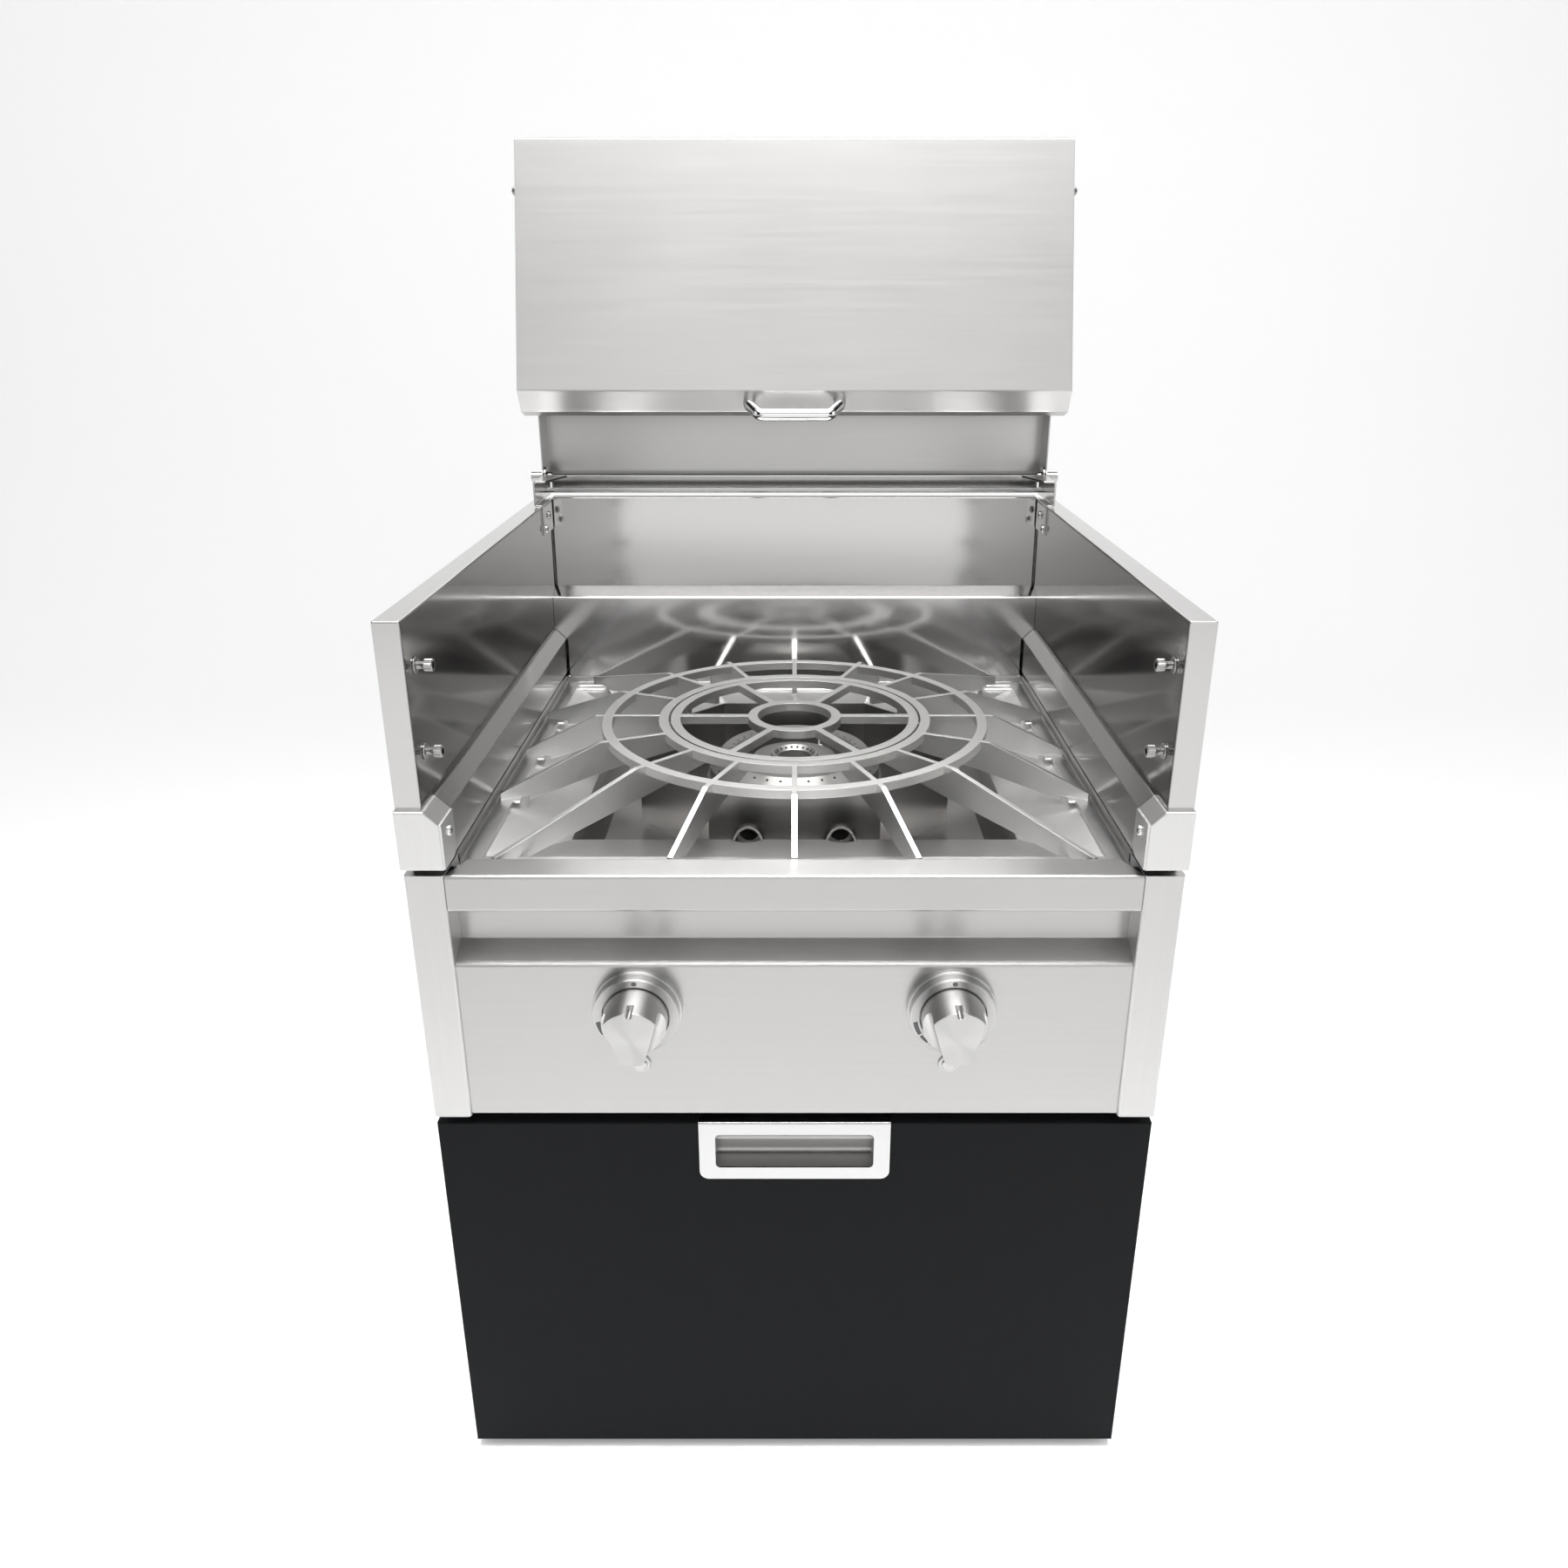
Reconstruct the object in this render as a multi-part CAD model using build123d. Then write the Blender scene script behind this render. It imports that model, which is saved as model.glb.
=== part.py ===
from build123d import *
from math import cos, radians, sin
import os

# Outdoor power burner: a black drawer cabinet under a stainless burner unit with wind guards
# and a two-part folding lid, shown open. Sizes are in millimetres.
# The pieces are drawn with Y running back from the front plane of the posts and Z up from the floor.
# On export they are shifted so that the origin is the bottom centre of the whole.

# Overall sizes
WIDTH = 610.0
DEPTH = 610.0
FLOOR_GAP = 9.0
STEEL = 1.5
BLACK = 2.0
BEND = 1.5
SEAM = 0.3
RUN = 0.05

# Heights of the front, stacked from the floor gap upwards
DRAWER_H = 370.0
CABINET_OVER = 6.0
DRAWER_SHADOW = 10.7
PANEL_H = 145.3
SLOT_H = 50.0
RAIL_FACE_H = 32.0
STRIP_H = 7.0
BEAM_H = 49.5
GUARD_H = 148.0

HALF = WIDTH / 2
Z_DRAWER = FLOOR_GAP
Z_DRAWER_TOP = Z_DRAWER + DRAWER_H
Z_CABINET = Z_DRAWER_TOP + CABINET_OVER
Z_PANEL = Z_DRAWER_TOP + DRAWER_SHADOW
Z_SLOT = Z_PANEL + PANEL_H
Z_RAIL = Z_SLOT + SLOT_H
Z_RIM = Z_RAIL + RAIL_FACE_H
Z_BEAM = Z_RIM + STRIP_H
Z_GUARD = Z_BEAM + BEAM_H
Z_GUARD_TOP = Z_GUARD + GUARD_H

# Base cabinet and feet
CAB_FRONT = 31.0
CAB_FLANGE = 25.0
BACK_FLANGE = 18.0
FLOOR_FLANGE = 26.0
FOOT_SIDE = 40.0
FOOT_INSET = 70.0
FOOT_R = 18.0
FOOT_PAD_H = 7.0
STUD_R = 5.0
STUD_OVER = 16.0
NUT_AF = 17.0
VENT_W = 7.0
VENT_H = 70.0
VENT_PITCH = 32.0
VENT_COUNT = 7
VENT_RISE = 75.0

# Drawer
DRAWER_SIDE_GAP = 0.0
DRAWER_SET_BACK = 5.0
DRAWER_THICK = 24.0
DRAWER_LIP = 20.0
DRAWER_EDGE_R = 1.2
PULL_W = 164.0
PULL_H = 57.0
PULL_PLATE = 1.8
PULL_CORNER = 8.0
PULL_FOLD = 14.0
POCKET_W = 136.0
POCKET_H = 34.5
POCKET_RISE = 12.0
POCKET_DEEP = 20.0
POCKET_HOOK = 6.0
POCKET_R = 4.0
LIP_DEEP = 14.0
LIP_DROP = 17.0
LIP_BULGE = 0.7
TRAY_RISE = 28.0
TRAY_H = 106.0
TRAY_BACK_GAP = 20.0

# Telescopic runners
RUNNER_H = 45.0
RUNNER_W = 12.7
RUNNER_WALL = 1.2
RUNNER_GAP = 0.4
RUNNER_FRONT = 45.0
RUNNER_BACK_GAP = 25.0
RUNNER_RISE = 44.0

# Burner unit front
POST_W = 32.0
POST_RETURN = 40.0
PANEL_SET_BACK = 3.0
PANEL_FLANGE = 20.0
SLOT_DEEP = 26.0
SLOT_RISE = 12.6
RIM_W = 32.0
RIM_SIDE = 32.0
RIM_CUT = 13.0
LEDGE_DROP = 8.5
LEDGE_W = 12.0
UNIT_FLANGE = 20.0
DECK_FRONT = 518.0
INLET_HOLE_R = 14.0

# Side beams and their end caps
BEAM_W = 34.0
BEAM_CHAMFER = 11.0
BEAM_WALL = 2.0
BEAM_BACK = 572.0
STRIP_INSET = 4.0
STRIP_SET_BACK = 12.0
CAP_THICK = 5.0
CAP_SLEEVE = 28.0
CAP_TAB_L = 28.0
CAP_TAB_H = 38.0
CAP_TAB_R = 10.0
CAP_EDGE_R = 1.2

# Wind guards and back rail
GUARD_T = 21.0
GUARD_BACK = 566.0
GUARD_EDGE_R = 1.5
BOLT_Y = 22.0
BOLT_RISES = (39.5, 108.5)
BOLT_SHANK_R = 3.0
BOLT_HEAD_R = 5.0
BOLT_HEAD_H = 6.0
BOLT_REACH = 14.0
BOLT_ROOT = 6.0
WASHER_R = 6.5
WASHER_T = 1.6
BACK_RAIL_H = 95.0
RAIL_LEAN = 3.5
REAR_GUARD_LEAN = 4.0
REAR_GAP = 2.0
LEDGE_SLOPE_Y = 27.0
LEDGE_SLOPE_Z = 9.0
HEM_H = 3.0

# Lid hinge
HINGE_Y = 570.0
HINGE_RISE = 23.5
HINGE_PIN_R = 4.0
HINGE_HEAD_R = 6.0
HINGE_HEAD_L = 13.0
BRACKET_T = 2.0
BRACKET_FRONT = 497.0
BRACKET_BACK = 543.0
BRACKET_LEG_H = 32.0
BRACKET_STEP = 8.0
BRACKET_UP = 27.0
BRACKET_TAB = 28.0
BRACKET_TAB_FRONT = 12.0
EAR_FRONT = 530.0
EAR_R = 12.0
BAR_FRONT = 556.0
BAR_W = 36.0
BAR_H = 18.0
BAR_RISE = 7.0
BAR_LIP = 6.0
BAR_HEM = 6.5
BAR_HEM_DROP = 5.0
BAR_BEND = 0.5

# Folding lid
LID_SIDE_GAP = 0.5
LID_FOLD_GAP = 9.5
LID_FRONT_HALF_W = HALF - LID_SIDE_GAP
LID_REAR_HALF_W = LID_FRONT_HALF_W - LID_FOLD_GAP
LID_REACH = 308.0
LID_SKIN_BACK = 31.5
LID_FOLD_BACK = 24.0
LID_REAR_FLANGE = 36.5
LID_REAR_START = -3.0
LID_REAR_OVER = 9.0
LID_EAR_R = 10.0
LID_TRIM = 70.0
LID_TRIM_DEEP = 13.5
LID_LEAN = 17.4
FRONT_SKIN = 18.0
FRONT_OVERLAP = 51.0
FRONT_REACH = 221.5
FRONT_BEVEL = 19.3
FRONT_LIP = 18.0
FRONT_HEM = 7.5
FRONT_FLANGE = 63.0
FOLD_PIN_R = 3.0
FOLD_HEAD_R = 6.0
FOLD_HEAD_L = 6.5
FOLD_NUT_AF = 9.5
FOLD_NUT_L = 5.0
HANDLE_HALF = 50.0
HANDLE_BAR_HALF = 38.0
HANDLE_STAND = 27.0
HANDLE_FOOT = 7.0
HANDLE_R = 6.5
HANDLE_BEND = 8.0

# Burner pan, shield and burner
GRATE_Y = 277.0
PAN_CLEAR = 4.0
PAN_FLANGE = 11.0
PAN_TAB = 8.0
PAN_TAB_W = 22.0
PAN_DROP = 6.0
PAN_SHELF = 62.0
PAN_SHELF_FALL = 10.0
PAN_WALL_IN = 16.0
PAN_FLOOR_Z = 562.0
SHIELD_W = 296.0
SHIELD_D = 254.0
SHIELD_CUT = 70.0
SHIELD_TOP = 621.0
HORN_X = 42.0
HORN_Z = 577.0
HORN_R = 14.5
HORN_TUBE_R = 11.0
HORN_WALL = 2.0
HORN_REACH = 22.0
HORN_BELL = 18.0
HORN_DEEP = 30.0
BODY_R = 88.0
BODY_FOOT_R = 62.0
BODY_FOOT_H = 5.0
BODY_TOP = 590.0
COLUMN_R = 44.0
COLUMN_TOP = 596.0
RING_OUT = 85.0
RING_IN = 59.0
RING_TOP = 615.0
RING_BEVEL = 12.0
RING_EDGE = 2.0
HEAD_R = 43.0
HEAD_TOP = 613.0
HEAD_SHOULDER = 608.0
HEAD_BORE = 16.5
HEAD_PORT_RING = 24.5
HEAD_STEP = 7.0
HEAD_CONE = 4.5
PORT_R = 1.2
PORT_DEEP = 3.0
RING_PORTS = 36
HEAD_PORTS = 20
SPARK_R = 51.0
SPARK_ANGLE = 150.0
SPARK_BODY_R = 3.5
SPARK_WIRE_R = 1.0

# Gas train
VALVE_X = 128.0
KNOB_RISE = 106.3
BUTTON_RISE = 52.3
VALVE_NOSE_R = 12.0
VALVE_NOSE_L = 15.0
VALVE_BLOCK = 26.0
VALVE_LEG_R = 7.0
PIPE_R = 8.0
PIPE_DROP = 40.0
PIPE_BOSS_R = 9.0
PIPE_BOSS_H = 14.0
PIPE_END = 22.0
PIPE_SIDE = 70.0
PIPE_BEND = 30.0
FEED_R = 6.0
FEED_BEND = 18.0
FEED_BACK = 90.0
FEED_SET_BACK = 37.0
INLET_FROM_BACK = 10.0
INLET_AF = 22.0
INLET_HEX_L = 16.0
INLET_R = 7.94
INLET_NOSE = 18.0

# Knobs, bezels and igniter buttons
BEZEL_R = 36.5
BEZEL_BASE_T = 6.0
BEZEL_FRONT_R = 35.0
BEZEL_DEEP = 15.0
BEZEL_EDGE = 0.8
BEZEL_DISH = 1.2
BEZEL_WELL_R = 27.3
BEZEL_WELL = 7.0
BEZEL_HOLE_R = 9.0
STEM_R = 4.0
STEM_FRONT = 30.0
STEM_TAIL = 22.0
STEM_HOLE_R = 6.0
KNOB_R = 26.0
KNOB_GAP = 12.0
KNOB_L = 36.0
KNOB_BASE_L = 14.0
KNOB_TOP_HALF = 23.2
KNOB_FOOT_HALF = 8.5
KNOB_FLAT = 4.0
KNOB_FOOT_R = 7.0
KNOB_SCOOP_R = 9.0
KNOB_NOTCH_W = 5.4
KNOB_NOTCH_L = 12.0
KNOB_NOTCH_DEEP = 5.0
KNOB_EDGE_R = 0.6
BUTTON_HOLE_R = 8.0
BUTTON_FLANGE_R = 9.0
BUTTON_FLANGE_T = 2.0
BUTTON_EDGE = 1.0
BUTTON_R = 5.5
BUTTON_PROUD = 1.8
BUTTON_L = 9.0
BUTTON_WELL = 10.0
BUTTON_BARREL_L = 22.0

# Grate
GRATE_TOP = 652.0
RING_W = 9.5
RING_T = 8.0
OUTER_RING_R = 189.0
INNER_RING_R = 134.0
INSERT_GAP = 2.1
INSERT_HUB_R = 46.0
INSERT_BARS = 6
INSERT_BAR_W = 7.0
SPOKES = 16
SPOKE_T = 4.8
SPOKE_H = 28.0
SPOKE_END_H = 6.0
SPOKE_STEP = 4.0
SPOKE_LEVEL = 8.0
SPOKE_TIP = 8.6
SPOKE_ROOT_H = 16.0
GRATE_CLEAR = 2.0

# The front and the back of the whole, and the shift that centres it over the origin
KNOB_FACE = PANEL_SET_BACK - KNOB_GAP - KNOB_L
INLET_TIP = DEPTH - INLET_FROM_BACK + INLET_HEX_L + INLET_NOSE
SHIFT_Y = -(KNOB_FACE + INLET_TIP) / 2


def outline(*points):
    """A flat face inside a closed line of points."""
    return make_face(Polyline(*points, close=True))


def sheet(points, thick, bend=BEND):
    """Section of a bent sheet: a line along one face, thickened to the right of travel."""
    line = [Vector(*point) for point in points]
    steps = [(b - a).normalized() for a, b in zip(line, line[1:])]
    rights = [Vector(step.Y, -step.X) for step in steps]
    back = []
    for i, point in enumerate(line):
        before = rights[max(i - 1, 0)]
        after = rights[min(i, len(rights) - 1)]
        mitre = (before + after).normalized()
        back.append(point + mitre * (thick / mitre.dot(before)))
    face = outline(*line, *reversed(back))
    for i in range(1, len(line) - 1):
        turns_right = steps[i - 1].cross(steps[i]).Z < 0
        inside, outside = (back[i], line[i]) if turns_right else (line[i], back[i])
        for corner, radius in ((inside, bend), (outside, bend + thick)):
            face = fillet(face.vertices().sort_by_distance(corner)[0], radius)
    return face


def along_x(face, x0, x1):
    """Extrude a face drawn in (y, z) from x0 to x1."""
    return extrude(Plane.YZ.offset(x0) * face, x1 - x0)


def along_y(face, y0, y1):
    """Extrude a face drawn in (x, z) from y0 to y1."""
    return extrude(Plane((0, y0, 0), x_dir=(1, 0, 0), z_dir=(0, -1, 0)) * face, y0 - y1)


def along_z(face, z0, z1):
    """Extrude a face drawn in (x, y) from z0 to z1."""
    return extrude(Plane.XY.offset(z0) * face, z1 - z0)


def block(x0, x1, y0, y1, z0, z1):
    """A plain block between two corners."""
    return Pos((x0 + x1) / 2, (y0 + y1) / 2, (z0 + z1) / 2) * Box(x1 - x0, y1 - y0, z1 - z0)


def turned(profile, place):
    """Revolve a closed (radius, height) profile about Z and put it at a place."""
    face = Plane.XZ * outline(*profile)
    return place * revolve(face, Axis.Z)


def facing_front(x, y, z):
    """A place whose own Z points to the front, for pieces turned about the knob axis."""
    return Location(Plane((x, y, z), x_dir=(1, 0, 0), z_dir=(0, -1, 0)))


def facing_in(x, y, z):
    """A place whose own Z points along -X, from the right side towards the middle."""
    return Location(Plane((x, y, z), x_dir=(0, 1, 0), z_dir=(-1, 0, 0)))


def hexagon(across_flats):
    """A hexagon by its width across flats."""
    return RegularPolygon(across_flats / 2, 6, major_radius=False)


# Base cabinet: folded black sheet, open at the front
def cabinet_side():
    edge = HALF - CAB_FLANGE
    line = [(edge, Z_CABINET), (HALF, Z_CABINET), (HALF, Z_DRAWER), (edge, Z_DRAWER)]
    return along_y(sheet(line, BLACK), CAB_FRONT, DEPTH)


def cabinet_back():
    edge = HALF - BLACK
    line = [(-edge, DEPTH - BACK_FLANGE), (-edge, DEPTH), (edge, DEPTH), (edge, DEPTH - BACK_FLANGE)]
    low = Z_DRAWER + BLACK + FLOOR_FLANGE + SEAM
    panel = along_z(sheet(line, BLACK), low, Z_CABINET - BLACK - BEND)
    vent = Rot(0, 0, 90) * SlotOverall(VENT_H, VENT_W)
    for i in range(VENT_COUNT):
        x = (i - (VENT_COUNT - 1) / 2) * VENT_PITCH
        panel -= along_y(Pos(x, low + VENT_RISE) * vent, DEPTH - BACK_FLANGE, DEPTH + BLACK)
    return panel


def foot_places():
    x = HALF - FOOT_SIDE
    front, back = CAB_FRONT + FOOT_INSET, DEPTH - FOOT_INSET
    return [(-x, front), (-x, back), (x, front), (x, back)]


def cabinet_floor():
    low = Z_DRAWER + BLACK
    high = low + FLOOR_FLANGE
    front = CAB_FRONT + BLACK
    back = DEPTH - BLACK
    line = [(back, high), (back, low), (front, low), (front, high)]
    edge = HALF - BLACK - BEND
    tray = along_x(sheet(line, BLACK), -edge, edge)
    for x, y in foot_places():
        tray -= Pos(x, y, low) * Cylinder(STUD_R + SEAM, 4 * BLACK)
    return tray


def levelling_feet():
    top = Z_DRAWER + BLACK
    pad = [(0, 0), (FOOT_R, 0), (FOOT_R, FOOT_PAD_H / 2), (FOOT_R * 0.7, FOOT_PAD_H), (STUD_R, FOOT_PAD_H),
           (STUD_R, top + STUD_OVER), (0, top + STUD_OVER)]
    foot = turned(pad, Pos(0, 0, 0)) + along_z(hexagon(NUT_AF), FOOT_PAD_H, top)
    return [Pos(x, y, 0) * foot for x, y in foot_places()]


# Drawer: a black pan front with a flush pull, and a folded tray behind it
def drawer_front():
    half = HALF - DRAWER_SIDE_GAP
    y0 = DRAWER_SET_BACK
    y1 = y0 + DRAWER_THICK
    front = block(-half, half, y0, y1, Z_DRAWER, Z_DRAWER_TOP)
    front = fillet(front.faces().sort_by(Axis.Y)[0].edges(), DRAWER_EDGE_R)
    front -= block(-half + BLACK, half - BLACK, y0 + BLACK, y1 - BLACK, Z_DRAWER + BLACK,
                   Z_DRAWER_TOP - BLACK)
    front -= block(-half + DRAWER_LIP, half - DRAWER_LIP, y0 + BLACK, y1 + BLACK,
                   Z_DRAWER + DRAWER_LIP, Z_DRAWER_TOP - DRAWER_LIP)
    wall = POCKET_W / 2 + STEEL + SEAM
    low = pocket_floor() - STEEL - SEAM
    high = pocket_floor() + POCKET_H + POCKET_HOOK + STEEL + SEAM
    return front - block(-wall, wall, y0 - BLACK, y0 + 2 * BLACK, low, high)


def pocket_floor():
    return Z_DRAWER_TOP - PULL_H + POCKET_RISE


def drawer_pull():
    face = DRAWER_SET_BACK - PULL_PLATE
    low = Z_DRAWER_TOP - PULL_H
    top = Z_DRAWER_TOP + PULL_PLATE
    line = [(face, low), (face, top), (face + PULL_FOLD, top)]
    plate = along_x(sheet(line, PULL_PLATE, SEAM), -PULL_W / 2, PULL_W / 2)
    corners = plate.edges().filter_by(Axis.Y).group_by(Axis.Z)[0]
    plate = fillet(corners, PULL_CORNER)
    mouth = Pos(0, pocket_floor() + POCKET_H / 2) * RectangleRounded(POCKET_W, POCKET_H, POCKET_R)
    return plate - along_y(mouth, face - STEEL, DRAWER_SET_BACK + STEEL)


def pull_cup():
    floor = pocket_floor()
    front = DRAWER_SET_BACK
    back = front + POCKET_DEEP
    half = POCKET_W / 2
    top = floor + POCKET_H
    cup = block(-half - STEEL, half + STEEL, front, back + STEEL, floor - STEEL, top + POCKET_HOOK + STEEL)
    hollow = block(-half, half, front - STEEL, back, floor, top + POCKET_HOOK)
    hollow = fillet(hollow.edges().filter_by(Axis.X).group_by(Axis.Y)[-1], POCKET_R)
    end = (front + LIP_DEEP, top - LIP_DROP)
    middle = (front + LIP_DEEP * LIP_BULGE, top - LIP_DROP * (1 - LIP_BULGE))
    under = ThreePointArc((front, top), middle, end)
    over = ThreePointArc((end[0] + STEEL, end[1]), (middle[0] + STEEL, middle[1] + STEEL),
                         (front, top + STEEL))
    lip = make_face([under, Line(under @ 1, over @ 0), over, Line(over @ 1, under @ 0)])
    shut = block(-half, half, front, front + STEEL, top, top + POCKET_HOOK)
    return cup - hollow + along_x(lip, -half, half) + shut


def tray_half():
    return HALF - BLACK - RUNNER_W


def drawer_tray():
    half = tray_half()
    low = Z_DRAWER + BLACK + TRAY_RISE
    high = low + TRAY_H
    y0 = DRAWER_SET_BACK + DRAWER_THICK
    y1 = DEPTH - TRAY_BACK_GAP
    line = [(half, high), (half, low), (-half, low), (-half, high)]
    tray = along_y(sheet(line, STEEL), y0, y1)
    for y in (y0, y1 - STEEL):
        tray += block(-half + STEEL, half - STEEL, y, y + STEEL, low + STEEL, high)
    return tray


def runner(member):
    """One member of a telescopic runner on the right side: cabinet, middle or drawer."""
    wall, gap = RUNNER_WALL, RUNNER_GAP
    wide = HALF - BLACK
    lip = tray_half() + wall + gap
    middle = wide - wall - gap
    tall = RUNNER_H / 2
    z = Z_DRAWER + BLACK + TRAY_RISE + RUNNER_RISE
    if member == "cabinet":
        line = [(lip, tall), (wide, tall), (wide, -tall), (lip, -tall)]
    elif member == "middle":
        tall -= wall + gap
        line = [(lip, tall), (middle, tall), (middle, -tall), (lip, -tall)]
    else:
        tall -= 2 * (wall + gap)
        inner = middle - wall - gap
        line = [(inner, -tall), (tray_half(), -tall), (tray_half(), tall), (inner, tall)]
    return along_y(Pos(0, z) * sheet(line, wall, gap), RUNNER_FRONT, DEPTH - RUNNER_BACK_GAP)


# Burner unit: stainless posts, control panel, front rail, sides and back
def post():
    inner = HALF - POST_W
    line = [(HALF, POST_RETURN), (HALF, 0), (inner, 0), (inner, POST_RETURN)]
    shell = along_z(sheet(line, STEEL), Z_PANEL, Z_RIM)
    top = block(inner + STEEL, HALF - STEEL, STEEL, POST_RETURN, Z_RIM - STEEL, Z_RIM)
    return shell + top


def control_panel():
    y0 = PANEL_SET_BACK
    line = [(y0 + PANEL_FLANGE, Z_PANEL), (y0, Z_PANEL), (y0, Z_SLOT), (SLOT_DEEP, Z_SLOT + SLOT_RISE),
            (SLOT_DEEP, Z_RAIL)]
    half = HALF - POST_W
    panel = along_x(sheet(line, STEEL), -half, half)
    for x in (-VALVE_X, VALVE_X):
        panel -= facing_front(x, y0, knob_z()) * Cylinder(STEM_HOLE_R, 4 * STEEL)
        panel -= facing_front(x, y0, button_z()) * Cylinder(BUTTON_HOLE_R, 4 * STEEL)
    return panel


def knob_z():
    return Z_PANEL + KNOB_RISE


def button_z():
    return Z_PANEL + BUTTON_RISE


def front_rail():
    ledge = Z_RIM - LEDGE_DROP
    line = [(SLOT_DEEP + STEEL, Z_RAIL), (0, Z_RAIL), (0, Z_RIM), (RIM_W, Z_RIM), (RIM_W, ledge),
            (RIM_W + LEDGE_W, ledge)]
    half = HALF - POST_W
    rail = along_x(sheet(line, STEEL), -half, half)
    back = RIM_W + STEEL
    corner = outline((half, 2 * STEEL), (half, back), (half - RIM_CUT, back))
    corner = along_z(corner, ledge + STEEL + SEAM, Z_RIM + STEEL)
    return rail - corner - mirror(corner, Plane.YZ)


def unit_side():
    rim = HALF - RIM_SIDE
    ledge = Z_RIM - LEDGE_DROP
    line = [(rim - LEDGE_W, ledge), (rim, ledge), (rim, Z_RIM), (HALF, Z_RIM), (HALF, Z_CABINET),
            (HALF - UNIT_FLANGE, Z_CABINET)]
    side = along_y(sheet(line, STEEL), POST_RETURN, DEPTH)
    side -= block(rim - LEDGE_W - STEEL, HALF - STEEL, DECK_FRONT - SEAM, DEPTH + STEEL,
                  Z_CABINET + 2 * STEEL, Z_RIM + STEEL)
    return side - block(rim - LEDGE_W - STEEL, rim + STEEL, POST_RETURN - STEEL, RIM_W + LEDGE_W + SEAM,
                        ledge - 2 * STEEL, Z_RIM - STEEL)


def unit_back():
    ledge = Z_RIM - LEDGE_DROP
    line = [(DECK_FRONT - LEDGE_W, ledge), (DECK_FRONT, ledge), (DECK_FRONT, Z_RIM), (DEPTH, Z_RIM),
            (DEPTH, Z_CABINET), (DEPTH - UNIT_FLANGE, Z_CABINET)]
    half = HALF - STEEL
    back = along_x(sheet(line, STEEL), -half, half)
    rim = HALF - RIM_SIDE
    for side in (-1, 1):
        x0, x1 = sorted((side * (rim - LEDGE_W - SEAM), side * WIDTH))
        back -= block(x0, x1, DECK_FRONT - 2 * LEDGE_W, DECK_FRONT - SEAM, ledge - 2 * STEEL, Z_RIM + STEEL)
        x0, x1 = sorted((side * (HALF - UNIT_FLANGE - SEAM), side * WIDTH))
        back -= block(x0, x1, DEPTH - 2 * UNIT_FLANGE, DEPTH + STEEL, Z_CABINET - STEEL,
                      Z_CABINET + STEEL + BEND + SEAM)
    return back - facing_front(HALF - PIPE_SIDE, DEPTH, pipe_z()) * Cylinder(INLET_HOLE_R, 4 * STEEL)


# Side beams on a dark strip, with end caps
def beam_outline():
    inner = HALF - BEAM_W
    return outline((inner, Z_BEAM), (HALF, Z_BEAM), (HALF, Z_GUARD), (inner + BEAM_CHAMFER, Z_GUARD),
                   (inner, Z_GUARD - BEAM_CHAMFER))


def side_beam():
    skin = beam_outline()
    return along_y(skin - offset(skin, -BEAM_WALL), CAP_SLEEVE + SEAM, BEAM_BACK)


def beam_strip():
    inner = HALF - BEAM_W + STRIP_INSET
    return block(inner, HALF - STRIP_INSET, STRIP_SET_BACK, BEAM_BACK, Z_RIM, Z_BEAM)


def beam_cap():
    cap = along_y(beam_outline(), -CAP_THICK, CAP_SLEEVE)
    cap = fillet(cap.faces().sort_by(Axis.Y)[0].edges(), CAP_EDGE_R)
    cap -= along_y(offset(beam_outline(), -BEAM_WALL), 0, CAP_SLEEVE)
    inner = HALF - BEAM_W
    top = Z_GUARD - BEAM_CHAMFER
    tab = along_x(outline((-CAP_THICK + CAP_EDGE_R, top), (-CAP_THICK + CAP_EDGE_R, top - CAP_TAB_H),
                          (CAP_TAB_L, top - CAP_TAB_H), (CAP_TAB_L, top)), inner - STEEL, inner)
    low = tab.edges().filter_by(Axis.X).group_by(Axis.Z)[0].sort_by(Axis.Y)[-1]
    return cap + fillet(low, CAP_TAB_R)


# Wind guards: hollow sheet panels standing on the beams
def side_guard():
    inner = HALF - GUARD_T
    shell = block(inner, HALF, 0, GUARD_BACK, Z_GUARD, Z_GUARD_TOP)
    shell = fillet(shell.edges() - shell.faces().sort_by(Axis.Z)[0].edges(), GUARD_EDGE_R)
    shell -= block(inner + STEEL, HALF - STEEL, STEEL, GUARD_BACK - STEEL, Z_GUARD - STEEL,
                   Z_GUARD_TOP - STEEL)
    for rise in BOLT_RISES:
        shell -= facing_in(inner, BOLT_Y, Z_GUARD + rise) * Cylinder(BOLT_SHANK_R + SEAM, 4 * STEEL)
    return shell


def guard_bolts():
    inner = HALF - GUARD_T
    neck = BOLT_REACH - BOLT_HEAD_H
    profile = [(0, -BOLT_ROOT), (BOLT_SHANK_R, -BOLT_ROOT), (BOLT_SHANK_R, 0), (WASHER_R, 0),
               (WASHER_R, WASHER_T), (BOLT_SHANK_R, WASHER_T), (BOLT_SHANK_R, neck), (BOLT_HEAD_R, neck),
               (BOLT_HEAD_R, BOLT_REACH), (0, BOLT_REACH)]
    right = [turned(profile, facing_in(inner, BOLT_Y, Z_GUARD + rise)) for rise in BOLT_RISES]
    return right + [mirror(bolt, Plane.YZ) for bolt in right]


def back_rail_top():
    return Z_RIM + BACK_RAIL_H + LEDGE_SLOPE_Z


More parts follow.
